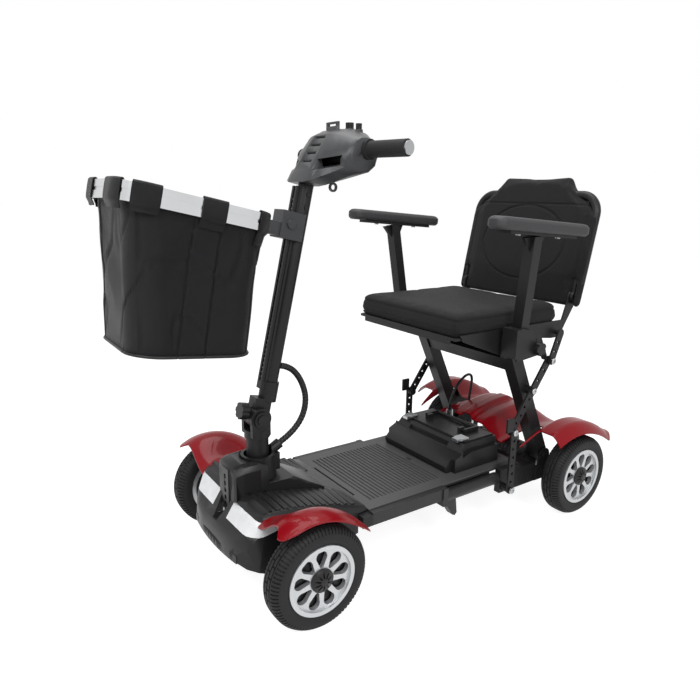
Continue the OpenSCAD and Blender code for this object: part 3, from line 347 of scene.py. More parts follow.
PAINTS = {
    powder_black: ["front_frame", "rear_frame", "seat_legs", "leg_crossbar", "seat_pan", "side_plates", "steering_stem",
                   "mast_foot", "mast_tube", "mast_rail", "arm_post_left", "arm_post_right", "backrest_frame",
                   "knuckle_left", "knuckle_right", "tie_rod", "braces", "lower_links", "upper_links"],
    moulded_black: ["nose_cover", "column_shroud", "controller_box", "battery_case", "battery_handle", "hinge_knob",
                    "throttle_lever", "speed_knob", "key_knob"],
    gloss_red: ["front_fender_left", "front_fender_right", "rear_cover"],
    deck_grey: ["footboard"],
    rail_grey: ["side_rails"],
    head_grey: ["head_shell", "basket_bracket"],
    lens_white: ["headlights"],
    bright_metal: ["handlebar", "battery_latches"],
    polished_rim: ["basket_rim"],
    foam_black: ["grips"],
    pad_rubber: ["arm_pad_left", "arm_pad_right"],
    cloth_black: ["basket_bag"],
    mesh_black: ["seat_cushion", "backrest_cover"],
    cast_grey: ["drive_unit"],
}
for material, names in PAINTS.items():
    for name in names:
        paint(NODES[name], material)
for wheel in ("front_left", "front_right", "rear_left", "rear_right"):
    paint(NODES[wheel + "_tyre"], tyre_rubber)
    paint(NODES[wheel + "_rim"], rim_silver)
    paint(NODES[wheel + "_cap"], moulded_black)
paint(NODES["cable_hose"], moulded_black)
paint(NODES["power_cable"], moulded_black)
print("finishes", len(PAINTS))

# %% [markdown]
# Two cables can be seen. The wiring hose leaves the mast, bows back over the folding hinge and goes into the
# column below it, so it has to bend when the tiller folds. The short lead stands up out of the power plug and
# goes into the controller again. Each is a tube drawn along a smooth route; the hose is wrapped in a spiral band.

# %% Cables
def take(obj):
    """Make obj the only selected object."""
    bpy.ops.object.select_all(action="DESELECT")
    obj.select_set(True)
    bpy.context.view_layer.objects.active = obj


def new_piece(name, verts, faces, edges=()):
    mesh = bpy.data.meshes.new(name)
    mesh.from_pydata([tuple(v) for v in verts], list(edges), faces)
    mesh.update()
    obj = bpy.data.objects.new(name, mesh)
    bpy.context.collection.objects.link(obj)
    return obj


def tidy_faces(obj, weld=1e-5):
    """Join touching points and turn every face outward."""
    take(obj)
    bpy.ops.object.mode_set(mode="EDIT")
    bpy.ops.mesh.select_all(action="SELECT")
    bpy.ops.mesh.remove_doubles(threshold=weld)
    bpy.ops.mesh.normals_make_consistent(inside=False)
    bpy.ops.object.mode_set(mode="OBJECT")


def smooth(obj, angle=35):
    take(obj)
    bpy.ops.object.shade_smooth_by_angle(angle=math.radians(angle))


def route_through(points, step):
    """A smooth line through the points, with a point about every step metres."""
    line = [2 * points[0] - points[1], *points, 2 * points[-1] - points[-2]]
    route = []
    for a, b, c, d in zip(line, line[1:], line[2:], line[3:]):
        count = max(2, round((c - b).length / step))
        for k in range(count):
            t = k / count
            route.append(0.5 * (2 * b + (c - a) * t + (2 * a - 5 * b + 4 * c - d) * t**2
                                + (3 * b - a - 3 * c + d) * t**3))
    return route + [points[-1]]


def tube_along(name, route, radius, sides, pitch=0.0, depth=0.0):
    """A closed tube on a route that stays in one plane of constant x, with a spiral groove where a pitch is given."""
    side, run, verts, faces = Vector((1, 0, 0)), 0.0, [], []
    for i, here in enumerate(route):
        ahead = (route[min(i + 1, len(route) - 1)] - route[max(i - 1, 0)]).normalized()
        up = ahead.cross(side).normalized()
        run += (here - route[max(i - 1, 0)]).length
        for k in range(sides):
            turn = 2 * math.pi * k / sides
            cut = depth if pitch and (run / pitch + k / sides) % 1 < 0.2 else 0.0
            verts.append(here + (radius - cut) * (math.cos(turn) * side + math.sin(turn) * up))
    for i in range(len(route) - 1):
        for k in range(sides):
            a, b = i * sides + k, i * sides + (k + 1) % sides
            faces.append((a, b, b + sides, a + sides))
    faces += [tuple(range(sides)), tuple(range(len(verts) - sides, len(verts)))]
    obj = new_piece(name, verts, faces)
    tidy_faces(obj)
    smooth(obj, 50)
    return obj


def length_of(route):
    return sum((b - a).length for a, b in zip(route, route[1:]))


hose_route = route_through([at(0, y, z) for y, z in (
    (-325, 431), (-312, 427), (-297, 418), (-283, 402), (-272, 380), (-266, 355), (-268, 330), (-277, 308),
    (-292, 290), (-309, 277), (-325, 268), (-333, 263.5), (-341, 259))], 0.0012)
hose = tube_along("wrapped_hose", hose_route, 0.0065, 20, pitch=0.007, depth=0.0009)
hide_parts("cable_hose")
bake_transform(hose)
lead_route = route_through([at(-60, y, z) for y, z in (
    (214, 231), (217, 243), (224, 260), (237, 279), (254, 295), (272, 303), (285, 300), (290, 288), (289, 270),
    (286, 250), (283, 231))], 0.003)
lead = tube_along("power_lead", lead_route, 0.0035, 14)
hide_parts("power_cable")
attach(lead, "chassis")
paint(hose, moulded_black)
paint(lead, moulded_black)
print("cables", round(length_of(hose_route), 3), round(length_of(lead_route), 3))

# %% [markdown]
# The tyres are puncture-proof rubber with a comb of fine cuts on both shoulders and blocks along the middle. The
# section is spun once round the axle, the cuts are pressed in by moving every third shoulder face inward, and the
# finished tyre is copied to the four wheels.

# %% Tyres
def spin_tyre():
    half = [(68, 22), (74, 24.6), (84, 25), (89, 24.3), (93.5, 22), (97.5, 17.5), (99.4, 13), (99.6, 10.2), (97.4, 9.8),
            (97.4, 7.9), (99.8, 7.5), (100, 1.3), (97.6, 1.0)]
    section = half + [(r, -x) for r, x in reversed(half)]
    count = len(section)
    obj = new_piece("tyre", [(x / 1000, 0, r / 1000) for r, x in section], [],
                    [(i, (i + 1) % count) for i in range(count)])
    take(obj)
    bpy.ops.object.mode_set(mode="EDIT")
    bpy.ops.mesh.select_all(action="SELECT")
    bpy.ops.mesh.spin(steps=240, angle=2 * math.pi, center=(0, 0, 0), axis=(1, 0, 0))
    bpy.ops.object.mode_set(mode="OBJECT")
    tidy_faces(obj)
    bpy.ops.object.mode_set(mode="EDIT")
    bpy.ops.mesh.select_mode(type="FACE")
    bpy.ops.mesh.select_all(action="DESELECT")
    shape = bmesh.from_edit_mesh(obj.data)
    for face in shape.faces:
        c = face.calc_center_median()
        r, x = math.hypot(c.y, c.z) * 1000, abs(c.x) * 1000
        step = int(math.atan2(c.z, c.y) / (2 * math.pi) * 240 + 480)
        comb = 13 < x < 23.5 and r > 91 and step % 3 == 0
        block = 1.4 < x < 7.4 and r > 99 and (step + (4 if c.x > 0 else 0)) % 8 == 0
        face.select_set(comb or block)
    bmesh.update_edit_mesh(obj.data)
    bpy.ops.mesh.extrude_region_shrink_fatten(TRANSFORM_OT_shrink_fatten={"value": -0.0022})
    bpy.ops.object.mode_set(mode="OBJECT")
    smooth(obj, 30)
    paint(obj, tyre_rubber)
    return obj


def copy_piece(obj, name, matrix):
    """A copy with a mesh of its own, moved to its place inside the mesh."""
    mesh = obj.data.copy()
    mesh.transform(matrix)
    twin = bpy.data.objects.new(name, mesh)
    bpy.context.collection.objects.link(twin)
    return twin


HUBS = {"front_left": (226, -379), "front_right": (-226, -379), "rear_left": (216, 379), "rear_right": (-216, 379)}
tyre = spin_tyre()
for wheel, (x, y) in HUBS.items():
    twin = copy_piece(tyre, wheel + "_tread", Matrix.Translation(at(x, y, 100)))
    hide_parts(wheel + "_tyre")
    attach(twin, wheel + "_wheel")
tyre_radius = max(math.hypot(v.co.y, v.co.z) for v in tyre.data.vertices)
print("tyre radius", round(tyre_radius, 4), "faces", len(tyre.data.polygons))
bpy.data.objects.remove(tyre)

# %% [markdown]
# The covers are injection mouldings. The drawing holds them as flat facets, so each gets a twin whose points are
# joined and whose shading runs smoothly over the curves. Plates, posts and castings get a narrow rounded edge as
# well, because it is the edge that catches the light on painted metal.

# %% Skins and edges
def twin_of(node, name):
    return copy_piece(NODES[node], name, NODES[node].matrix_world)


def skin(node, body, material, angle=35, edge=0.0):
    obj = twin_of(node, node + "_skin")
    tidy_faces(obj)
    if edge:
        bpy.ops.object.mode_set(mode="EDIT")
        bpy.ops.mesh.select_all(action="SELECT")
        bpy.ops.mesh.dissolve_limited(angle_limit=math.radians(1))
        bpy.ops.object.mode_set(mode="OBJECT")
        rounding = obj.modifiers.new("edge", "BEVEL")
        rounding.width, rounding.segments = edge, 2
        rounding.limit_method, rounding.angle_limit = "ANGLE", math.radians(angle)
        bpy.ops.object.modifier_apply(modifier="edge")
    smooth(obj, angle)
    if edge:
        obj.modifiers.new("flats", "WEIGHTED_NORMAL").keep_sharp = True
        bpy.ops.object.modifier_apply(modifier="flats")
    paint(obj, material)
    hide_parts(node)
    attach(obj, body)
    return obj


for node, body, slot, material, angle in (
        ("nose_cover", "chassis", "cover_black", moulded_black, 20),
        ("column_shroud", "chassis", "cover_black", moulded_black, 24),
        ("headlights", "chassis", "lens_white", lens_white, 30),
        ("front_fender_left", "chassis", "cover_red", gloss_red, 32),
        ("front_fender_right", "chassis", "cover_red", gloss_red, 32),
        ("head_shell", "tiller", "head_grey", head_grey, 25)):
    skin(node, body, material, angle)
for node, body, slot, material, edge in (
        ("side_plates", "seat", "steel_black", powder_black, 0.0006),
        ("arm_post_left", "left_arm", "steel_black", powder_black, 0.0015),
        ("arm_post_right", "right_arm", "steel_black", powder_black, 0.0015),
        ("battery_case", "battery", "battery_black", moulded_black, 0.0012),
        ("basket_bracket", "tiller", "head_grey", head_grey, 0.0012),
        ("braces", "brace_pair", "steel_black", powder_black, 0.0006),
        ("lower_links", "lower_pair", "steel_black", powder_black, 0.0006),
        ("upper_links", "upper_pair", "steel_black", powder_black, 0.0006)):
    skin(node, body, material, 35, edge)
print("skins made")

# %% [markdown]
# The rear cover is one thin red moulding: a hump over the drive with a raised band along its crest, a valley on
# each side and a wing over each wheel. A flat grid is raised to that shape, given its wall thickness, and cut
# away where the seat legs swing and where the power plug stands.

# %% Rear cover
def mix(a, b, t):
    return a + (b - a) * t


def ease(t):
    t = min(1, max(0, t))
    return t * t * (3 - 2 * t)


def cover_height(x, y):
    a = abs(x)
    wing = 244 - 0.0028 * (y - 345) ** 2 + 8 * ease((y - 462) / 31)
    hump = 240 - (0.0016 if y < 345 else 0.0046) * (y - 345) ** 2
    valley = max(202 - 0.0012 * (y - 330) ** 2, 158)
    band = 11 * (1 - ease((a - 13) / 7)) * (1 - ease((y - 350) / 40))
    middle = mix(max(hump, 158) + band, valley, ease((a - 48) / 62))
    return mix(middle, wing, ease((a - 150) / 44)) - 24 * max(0, (a - 222) / 30) ** 2


def cut_box(obj, place, low, high):
    """Cut a box, given by two corners and the frame that they are drawn in, out of the piece."""
    corners = [place(x, y, z) for x in (low[0], high[0]) for y in (low[1], high[1]) for z in (low[2], high[2])]
    sides = [(0, 1, 3, 2), (4, 6, 7, 5), (0, 4, 5, 1), (2, 3, 7, 6), (0, 2, 6, 4), (1, 5, 7, 3)]
    box = new_piece("slot", corners, sides)
    tidy_faces(box)
    take(obj)
    cut = obj.modifiers.new("slot", "BOOLEAN")
    cut.operation, cut.object = "DIFFERENCE", box
    bpy.ops.object.modifier_apply(modifier="slot")
    bpy.data.objects.remove(box)


# Two slots for the seat legs and a notch for the power plug, each as two corners of a box
COVER_SLOTS = (((120, 150, 100), (176, 352, 300)), ((-176, 150, 100), (-120, 352, 300)),
               ((-76, 200, 100), (-44, 232, 300)))


def make_rear_cover():
    bpy.ops.object.select_all(action="DESELECT")
    bpy.ops.mesh.primitive_grid_add(x_subdivisions=168, y_subdivisions=56, size=1, location=(0, 0, 0))
    obj = bpy.context.object
    obj.name = obj.data.name = "rear_moulding"
    for v in obj.data.vertices:
        x = v.co.x * 504
        a = abs(x)
        front = mix(216, 268, ease((a - 176) / 12))
        back = mix(452, 493, ease((a - 110) / 70)) - 28 * max(0, (a - 214) / 38) ** 2
        y = mix(front, back, v.co.y + 0.5)
        v.co = at(x, y, cover_height(x, y))
    wall = obj.modifiers.new("wall", "SOLIDIFY")
    wall.thickness, wall.offset = 0.0035, -1
    bpy.ops.object.modifier_apply(modifier="wall")
    for low, high in COVER_SLOTS:
        cut_box(obj, at, low, high)
    smooth(obj, 40)
    paint(obj, gloss_red)
    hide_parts("rear_cover")
    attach(obj, "chassis")
    return obj


rear_cover = make_rear_cover()
print("rear cover faces", len(rear_cover.data.polygons))

# %% [markdown]
# Behind the spokes of each wheel a dark dished plate is set as painted shade: it stands in for the shade seen
# through the spoke windows, so no light comes through. The mast's front groove holds a row of small bright pins,
# and the power plug has a knurled nickel sleeve. Each is one primitive, shaped in edit mode and copied or repeated.

# %% Small metal pieces
def make_disc(name, radius, depth, sides, inset=0.0, sink=0.0):
    """A cylinder along z whose top end is inset and sunk, where an inset is given."""
    bpy.ops.object.select_all(action="DESELECT")
    bpy.ops.mesh.primitive_cylinder_add(vertices=sides, radius=radius, depth=depth, location=(0, 0, 0))
    obj = bpy.context.object
    obj.name = obj.data.name = name
    if inset:
        bpy.ops.object.mode_set(mode="EDIT")
        bpy.ops.mesh.select_mode(type="FACE")
        bpy.ops.mesh.select_all(action="DESELECT")
        shape = bmesh.from_edit_mesh(obj.data)
        for face in shape.faces:
            face.select_set(face.normal.z > 0.9)
        bmesh.update_edit_mesh(obj.data)
        bpy.ops.mesh.inset(thickness=inset)
        bpy.ops.transform.translate(value=(0, 0, -sink))
        bpy.ops.object.mode_set(mode="OBJECT")
    smooth(obj, 35)
    return obj


# A dark plate behind the spokes of each wheel: painted shade for the view through the spoke windows
plate = make_disc("shade_plate", 0.0655, 0.003, 64, 0.012, 0.001)
paint(plate, moulded_black)
for wheel, (x, y) in HUBS.items():
    side = 1 if x > 0 else -1
    turn = Matrix.Rotation(math.radians(90 * side), 4, "Y")
    twin = copy_piece(plate, wheel + "_shade_plate", Matrix.Translation(at(x + side * 6, y, 100)) @ turn)
    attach(twin, wheel + "_wheel")
bpy.data.objects.remove(plate)

pins = make_disc("rail_pins", 0.0022, 0.0016, 12, 0.0006, 0.0004)
pins.data.transform(Matrix.Rotation(math.pi / 2 - RAKE, 4, "X"))
pins.data.transform(Matrix.Translation(on_mast(0, -2.9, 82)))
take(pins)
row = pins.modifiers.new("row", "ARRAY")
row.count, row.use_relative_offset, row.use_constant_offset = 40, False, True
row.constant_offset_displace = on_mast(0, 0, 9) - on_mast(0, 0, 0)
bpy.ops.object.modifier_apply(modifier="row")
paint(pins, bright_metal)
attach(pins, "tiller")

sleeve = make_disc("plug_sleeve", 0.0084, 0.018, 36, 0.001, -0.0008)
sleeve.data.transform(Matrix.Translation(at(-60, 214, 207)))
paint(sleeve, bright_metal)
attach(sleeve, "chassis")
print("back plates, rail pins and sleeve made")

# %% [markdown]
# Under the battery the space between the two side tubes is closed by a shallow tray, which keeps spray off the
# wiring. It is a box with rounded edges, hung just below the footboard.

# %% Belly tray
def make_tray():
    bpy.ops.object.select_all(action="DESELECT")
    bpy.ops.mesh.primitive_cube_add(size=1, location=(0, 0, 0))
    obj = bpy.context.object
    obj.name = obj.data.name = "belly_tray"
    bpy.ops.object.mode_set(mode="EDIT")
    bpy.ops.mesh.select_all(action="SELECT")
    bpy.ops.transform.resize(value=(0.268, 0.176, 0.028))
    bpy.ops.transform.translate(value=at(0, 81, 113.5))
    bpy.ops.mesh.bevel(offset=0.004, segments=2)
    bpy.ops.object.mode_set(mode="OBJECT")
    smooth(obj, 35)
    paint(obj, moulded_black)
    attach(obj, "chassis")
    return obj


tray = make_tray()
print("tray", [round(v, 3) for v in tray.dimensions])

# %% [markdown]
# The seat cushion is foam in a box cover of spacer mesh. A loft of rounded layers gives the block with its waist
# between the side plates. It is cut into a fine even net, blown up a little with cloth pressure so that its faces
# belly, and then two sewn seams are pressed in round the sides.

# %% Cushion
def net_of(obj, size, rounds=4):
    """Replace the mesh by an even net of that size and take off the steps that it leaves."""
    take(obj)
    obj.data.remesh_voxel_size = size
    bpy.ops.object.voxel_remesh()
    relax = obj.modifiers.new("relax", "SMOOTH")
    relax.factor, relax.iterations = 0.5, rounds
    bpy.ops.object.modifier_apply(modifier="relax")


def inflate(obj, pressure, cap, keep):
    """Blow the net up with cloth pressure; keep(point) is the share of the movement that a point makes."""
    take(obj)
    before = [v.co.copy() for v in obj.data.vertices]
    cloth = obj.modifiers.new("air", "CLOTH")
    cloth.settings.use_pressure = True
    cloth.settings.uniform_pressure_force = pressure
    cloth.settings.effector_weights.gravity = 0
    cloth.point_cache.frame_start, cloth.point_cache.frame_end = 1, 20
    for number in range(1, 21):
        scene.frame_set(number)
    full = obj.evaluated_get(bpy.context.evaluated_depsgraph_get()).data
    after = [v.co.copy() for v in full.vertices]
    obj.modifiers.remove(cloth)
    scene.frame_set(1)
    for v, a, b in zip(obj.data.vertices, before, after):
        move = b - a
        v.co = a + move * keep(a) * min(1, cap / max(move.length, 1e-9))


def refine(obj):
    take(obj)
    obj.modifiers.new("fine", "SUBSURF").levels = 1
    bpy.ops.object.modifier_apply(modifier="fine")


def lay_flat(obj):
    """Flat coordinates in metres, seen along the axis that each face looks at most."""
    layer = obj.data.uv_layers.new(name="flat")
    for face in obj.data.polygons:
        axis = max(range(3), key=lambda i: abs(face.normal[i]))
        u, v = [i for i in range(3) if i != axis]
        for corner in face.loop_indices:
            p = obj.data.vertices[obj.data.loops[corner].vertex_index].co
            layer.data[corner].uv = (p[u], p[v])


def bell(x, width):
    """One in the middle, falling to nothing at the width."""
    return max(0.0, 1 - (x / width) ** 2) ** 2


def press_in(obj, depth_at):
    """Move each point against its normal by depth_at(point, normal)."""
    moves = [v.normal * depth_at(v.co, v.normal) for v in obj.data.vertices]
    for v, move in zip(obj.data.vertices, moves):
        v.co -= move


def loft(name, rings):
    """A closed body through rings of the same count of points."""
    count, faces = len(rings[0]), []
    for i in range(len(rings) - 1):
        for k in range(count):
            a, b = i * count + k, i * count + (k + 1) % count
            faces.append((a, b, b + count, a + count))
    verts = [p for ring in rings for p in ring]
    obj = new_piece(name, verts, faces + [tuple(range(count)), tuple(range(len(verts) - count, len(verts)))])
    tidy_faces(obj)
    return obj


def rounded_ring(width, front, back, radius, along=26, across=22, corner=9):
    """Points round a rectangle with round corners, each with its outward direction and its share of the way round."""
    x, r = width / 2 - radius, radius
    f, b = front + radius, back - radius
    lines = [((x + r, f), (x + r, b), (1, 0), along, (x, b), 0),
             ((x, b + r), (-x, b + r), (0, 1), across, (-x, b), 90),
             ((-x - r, b), (-x - r, f), (-1, 0), along, (-x, f), 180),
             ((-x, f - r), (x, f - r), (0, -1), across, (x, f), 270)]
    ring = []
    for (x0, y0), (x1, y1), normal, count, (cx, cy), start in lines:
        for k in range(count):
            t = k / count
            ring.append((x0 + (x1 - x0) * t, y0 + (y1 - y0) * t, *normal))
        for k in range(corner):
            a = math.radians(start + 90 * k / corner)
            ring.append((cx + r * math.cos(a), cy + r * math.sin(a), math.cos(a), math.sin(a)))
    return ring


LAYERS = ((480, 333, 4), (487, 333, 4), (493, 346, 0), (517, 346, 0), (523, 340, 3), (526, 328, 9))
cushion = loft("cushion", [[at(x, y, z) for x, y, _, _ in rounded_ring(w, d - 5, 320 - d, 16)] for z, w, d in LAYERS])
net_of(cushion, 0.005, 2)
inflate(cushion, 4, 0.004, lambda p: min(1, max(0, (p.z - 0.494) / 0.02)))
refine(cushion)


def cushion_seams(p, n):
    """Depth of the two seams that run round the side of the cushion."""
    return (1 - abs(n.z)) * (0.0024 * bell(p.z - 0.515, 0.004) + 0.0018 * bell(p.z - 0.493, 0.004))


press_in(cushion, cushion_seams)
lay_flat(cushion)
smooth(cushion, 60)
paint(cushion, mesh_black)
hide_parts("seat_cushion")
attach(cushion, "seat")
print("cushion faces", len(cushion.data.polygons))

# %% [markdown]
# The backrest is a padded sleeve pulled over the bent tube. Its outline narrows to a flap over the top of the
# tube, and the two hinges come out of slots at the bottom. An oval seam holds the padding of the back panel, and
# short seams mark where the flap is sewn on.

# %% Backrest
LEAN = math.radians(11.6)
HINGE = at(0, 368, 537)


def on_back(x, y, z):
    """A point in the backrest's leaning frame, whose origin is the middle of its hinge."""
    c, s = math.cos(LEAN), math.sin(LEAN)
    return HINGE + Vector((x, y * c + z * s, z * c - y * s)) / 1000


def back_place(p):
    """The same, the other way round: millimetres in the leaning frame."""
    d, c, s = (p - HINGE) * 1000, math.cos(LEAN), math.sin(LEAN)
    return d.x, d.y * c - d.z * s, d.y * s + d.z * c


def sleeve_ring(z, w, t, count=24):
    """A flat ring with round ends, as wide as w each way and as thick as t each way."""
    ring = []
    for k in range(count):
        turn = 2 * math.pi * k / count
        side = 1 if math.cos(turn) > 0 else -1
        ring.append(on_back(side * (w - t) + t * math.cos(turn), t * math.sin(turn), z))
    return ring


def back_share(p):
    x, _, z = back_place(p)
    return min(1, max(0, (z + 10) / 60)) * min(1, max(0, (186 - abs(x)) / 40))


def back_seams(p, n):
    x, y, z = back_place(p)
    oval = math.hypot(x / 128, (z - 118) / 92)
    deep = bell((oval - 1) * 100, 4.5) if y < 0 else 0.0
    return 0.0024 * deep + 0.0016 * bell(z - 214, 4) + 0.0014 * bell(abs(x) - 172, 3.5) * (z < 190)


SLEEVE = ((-21, 188, 8), (-14, 193, 12), (60, 194, 12.5), (188, 194, 12.5), (218, 168, 12.5), (262, 116, 12.5),
          (280, 103, 10), (284, 98, 7))
backrest = loft("backrest", [sleeve_ring(*row) for row in SLEEVE])
for side in (-1, 1):
    cut_box(backrest, on_back, (side * 174.75 - 8.25, -30, -40), (side * 174.75 + 8.25, 30, 42))
net_of(backrest, 0.004)
inflate(backrest, 3, 0.007, back_share)
refine(backrest)
press_in(backrest, back_seams)
lay_flat(backrest)
smooth(backrest, 60)
paint(backrest, mesh_black)
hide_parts("backrest_cover")
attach(backrest, "backrest")
print("backrest faces", len(backrest.data.polygons))

# %% [markdown]
# The arm pads are soft moulded foam with a skin. Each starts from the drawing's block; a fine net rounds its
# edges, and a parting line runs round the side where the two halves of the mould met.

# %% Arm pads
PAD_TILT = math.radians(4.5)


def make_pad(side, body):
    node = "arm_pad_left" if side > 0 else "arm_pad_right"
    obj = twin_of(node, node + "_soft")
    net_of(obj, 0.003)
    middle = at(side * 236, 151, 722)

    def parting(p, n):
        d = p - middle
        height = d.z * math.cos(PAD_TILT) + d.y * math.sin(PAD_TILT)
        return 0.0012 * bell((height + 0.004) * 1000, 2.5) * (1 - abs(n.z))

    press_in(obj, parting)
    lay_flat(obj)
    smooth(obj, 60)
    paint(obj, pad_rubber)
    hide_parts(node)
    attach(obj, body)
    return obj


pads = [make_pad(1, "left_arm"), make_pad(-1, "right_arm")]
print("pads", [len(p.data.polygons) for p in pads])

# %% [markdown]
# The basket is a bag of black nylon sewn to the shape of a bucket. It hangs from loops that are folded over the
# aluminium rim. The cloth is a loft of rings that narrow to the floor; it sinks in a little between the loops,
# with a few creases, and sewn straps stand up from it. A piped edge closes the floor.

# %% Basket bag
STRAPS = ((1, -210), (-1, -210))


def bag_ring(t):
    front, back = mix(-294, -340, t), mix(-78, -95, t)
    points = []
    for x, y, nx, ny in rounded_ring(mix(212, 230, t), front, back, mix(54, 48, t), 56, 40, 28):
        z = mix(mix(118, 140, (y - front) / (back - front)), 374, t)
        # Sag between the loops and creases that run down the cloth, both inward only
        slack = math.sin(math.pi * min(1, t * 1.08)) ** 0.8
        sag = noise.noise(Vector((x * 0.013 + z * 0.006, y * 0.014 - z * 0.006, z * 0.005)))
        crease = noise.noise(Vector((x * 0.016 - z * 0.007, y * 0.017 + z * 0.009, z * 0.003 + 7)))
        sink = slack * (3 + 8 * max(-0.45, sag) + 3.4 * max(0, 1 - abs(crease) / 0.1))
        strap = None
        for side, middle in STRAPS:
            if nx * side > 0.7:
                strap = abs(y - mix(middle + 12, middle, t)) - 23
        if ny < -0.7:
            strap = abs(abs(x) - 80) - 22
        if strap is not None:
            sink += 1.9 * bell(strap, 2.5) - (1.6 if strap < -1 else 0.0)
        # The seam where two panels meet runs down the middle of each corner
        sink += 2.0 * bell(abs(nx) - abs(ny), 0.09)
        points.append((x - nx * max(sink, -0.5), y - ny * max(sink, -0.5), z))
    return points


def make_bag():
    verts, faces = [], []
    levels = [k / 34 for k in range(35)]
    rings = [bag_ring(t) for t in levels]
    count = len(rings[0])
    middle = Vector((0, -186, 129))
    floor = [[Vector(p) + (middle - Vector(p)) * s for p in rings[0]] for s in (0.8, 0.6, 0.4, 0.2, 0.06)]
    for k, ring in enumerate(floor + rings):
        dip = 3.5 if k < 4 else 0.0
        verts += [on_mast(p[0], p[1], p[2] + dip) for p in ring]
    for i in range(len(floor) + len(rings) - 1):
        for k in range(count):
            a, b = i * count + k, i * count + (k + 1) % count
            faces.append((a, b, b + count, a + count))
    faces.append(tuple(reversed(range(count))))
    return new_piece("bag", verts, faces)


bag = make_bag()
tidy_faces(bag)
thick = bag.modifiers.new("cloth", "SOLIDIFY")
thick.thickness, thick.offset = 0.0022, -1
bpy.ops.object.modifier_apply(modifier="cloth")
lay_flat(bag)
smooth(bag, 60)
paint(bag, cloth_black)

# %% [markdown]
# The piped edge is a cord sewn into the floor seam, so it is a thin ring that follows the lowest outline of the
# bag. The loops are strips of the same nylon: up the outside of the rim, over it and down the inside.

# %% Piping and loops
def ring_tube(name, points, radius, sides=8):
    """A closed ring of round section through points that lie round the bag."""
    verts, faces, count = [], [], len(points)
    for i, here in enumerate(points):
        ahead = (points[(i + 1) % count] - points[i - 1]).normalized()
        side = ahead.cross(Vector((0, 0, 1))).normalized()
        up = side.cross(ahead)
        for k in range(sides):
            a = 2 * math.pi * k / sides
            verts.append(here + radius * (math.cos(a) * side + math.sin(a) * up))
    for i in range(count):
        for k in range(sides):
            a, b = i * sides + k, i * sides + (k + 1) % sides
            j = ((i + 1) % count) * sides
            faces.append((a, b, j + (k + 1) % sides, j + k))
    obj = new_piece(name, verts, faces)
    tidy_faces(obj)
    smooth(obj, 60)
    return obj


piping = ring_tube("bag_piping", [on_mast(x * 1.012, y, z + 1) for x, y, z in bag_ring(0)], 0.0028)
paint(piping, moulded_black)
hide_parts("basket_bag")
for obj in (bag, piping):
    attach(obj, "tiller")

RIM = rounded_ring(240, -354, -88, 54, 60, 50, 40)
FOLD = ((-5.5, 343), (-3.5, 348), (-0.5, 352), (1.2, 355), (1.8, 362), (1.9, 376), (1.6, 385), (0, 387.4), (-2, 387.9),
        (-4, 387.4), (-5.6, 385), (-5.9, 376), (-5.9, 360))


def make_loop(name, first, last, drop):
    """A strip from one point of the rim's outline to another, folded over the rim; drop lengthens its outer end."""
    picks = [RIM[i % len(RIM)] for i in range(first, last + 1)]
    fold = [(FOLD[0][0] - drop * 0.05, FOLD[0][1] - drop), *FOLD[1:]]
    verts = [on_mast(x + nx * u, y + ny * u, z) for u, z in fold for x, y, nx, ny in picks]
    wide, faces = len(picks), []
    for i in range(len(fold) - 1):
        for k in range(wide - 1):
            a = i * wide + k
            faces.append((a, a + 1, a + 1 + wide, a + wide))
    obj = new_piece(name, verts, faces)
    tidy_faces(obj)
    body = obj.modifiers.new("cloth", "SOLIDIFY")
    body.thickness, body.offset = 0.0016, 0
    bpy.ops.object.modifier_apply(modifier="cloth")
    lay_flat(obj)
    smooth(obj, 50)
    paint(obj, cloth_black)
    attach(obj, "tiller")
    return obj


def rim_span(x, y, width):
    """The outline's points within half a width of the one nearest to (x, y)."""
    near = min(range(len(RIM)), key=lambda i: math.hypot(RIM[i][0] - x, RIM[i][1] - y))
    reach = [near, near]
    for way in (-1, 1):
        run, i = 0.0, near
        while run < width / 2:
            a, b = RIM[i % len(RIM)], RIM[(i + way) % len(RIM)]
            run += math.hypot(a[0] - b[0], a[1] - b[1])
            i += way
        reach[way > 0] = i
    return reach


# Place on the rim, width and extra drop of each pair of loops
LOOPS = ((118, -314, 42, 0), (120, -204, 40, 4), (106, -106, 42, 14), (68, -354, 52, 0))
loops = []
for k, (x, y, width, drop) in enumerate(LOOPS):
    for side in (1, -1):
        first, last = rim_span(side * x, y, width)
        loops.append(make_loop(f"bag_loop_{k}_{'left' if side > 0 else 'right'}", first, last, drop))
print("loops", len(loops))

# %% [markdown]
# The pivots of the seat linkage are closed by button-head screws with a hexagon socket, and each arm pad is held
# by two smaller ones from below. One screw head is modelled from a cylinder, with an inset and a sunk socket, and
# copied.

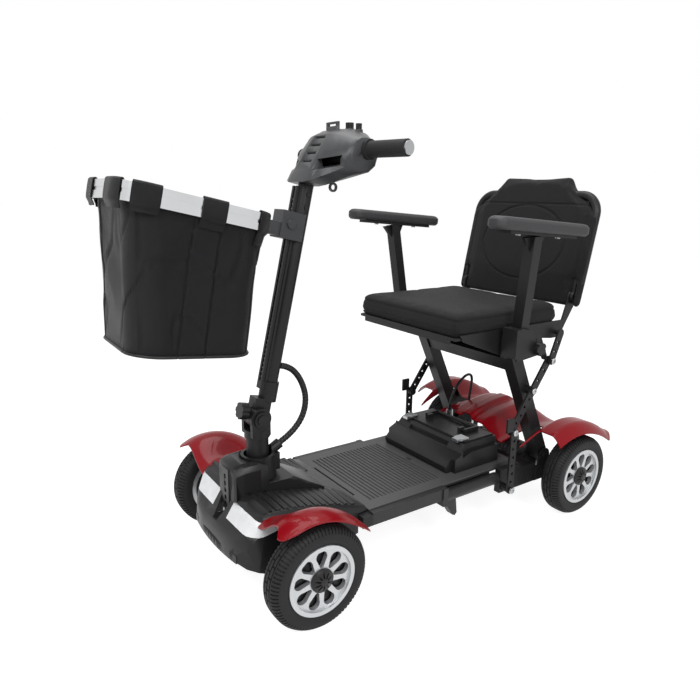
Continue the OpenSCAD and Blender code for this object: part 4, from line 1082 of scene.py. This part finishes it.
# %% Screw heads
def make_screw():
    bpy.ops.object.select_all(action="DESELECT")
    bpy.ops.mesh.primitive_cylinder_add(vertices=24, radius=0.0075, depth=0.0035, location=(0, 0, 0))
    obj = bpy.context.object
    bpy.ops.object.mode_set(mode="EDIT")
    bpy.ops.mesh.select_mode(type="FACE")
    bpy.ops.mesh.select_all(action="DESELECT")
    shape = bmesh.from_edit_mesh(obj.data)
    for face in shape.faces:
        face.select_set(face.normal.z > 0.9)
    bmesh.update_edit_mesh(obj.data)
    bpy.ops.mesh.inset(thickness=0.0012)
    bpy.ops.transform.translate(value=(0, 0, 0.0009))
    bpy.ops.mesh.inset(thickness=0.003)
    bpy.ops.mesh.extrude_region_move(TRANSFORM_OT_translate={"value": (0, 0, -0.002)})
    bpy.ops.object.mode_set(mode="OBJECT")
    smooth(obj, 35)
    paint(obj, bright_metal)
    return obj


screw = make_screw()
PIVOTS = (("link_foot", 180, 97, 194.2, "chassis"), ("link_joint", 180, 240, 191.2, "lower_pair"),
          ("brace_mid", 242, 328, 184.2, "legs"), ("brace_top", 290, 396, 193.2, "brace_pair"),
          ("upper_pivot", 315, 459, 184.2, "seat"))
screws = 0
for name, y, z, x, body in PIVOTS:
    for side, hand in ((1, "left"), (-1, "right")):
        turn = Matrix.Rotation(math.radians(90 * side), 4, "Y")
        head = copy_piece(screw, f"screw_{name}_{hand}", Matrix.Translation(at(side * x, y, z)) @ turn)
        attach(head, body)
        screws += 1
for side, hand in ((1, "left"), (-1, "right")):
    for k, along in enumerate((-62, 62)):
        c, s = math.cos(PAD_TILT), math.sin(PAD_TILT)
        spot = at(side * 236 - side * 3, 151 + along * c - 33 * s, 722 - along * s - 33 * c)
        turn = Matrix.Rotation(math.pi - PAD_TILT, 4, "X") @ Matrix.Scale(0.7, 4)
        head = copy_piece(screw, f"pad_screw_{hand}_{k}", Matrix.Translation(spot) @ turn)
        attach(head, hand + "_arm")
        screws += 1
bpy.data.objects.remove(screw)
print("screws", screws)
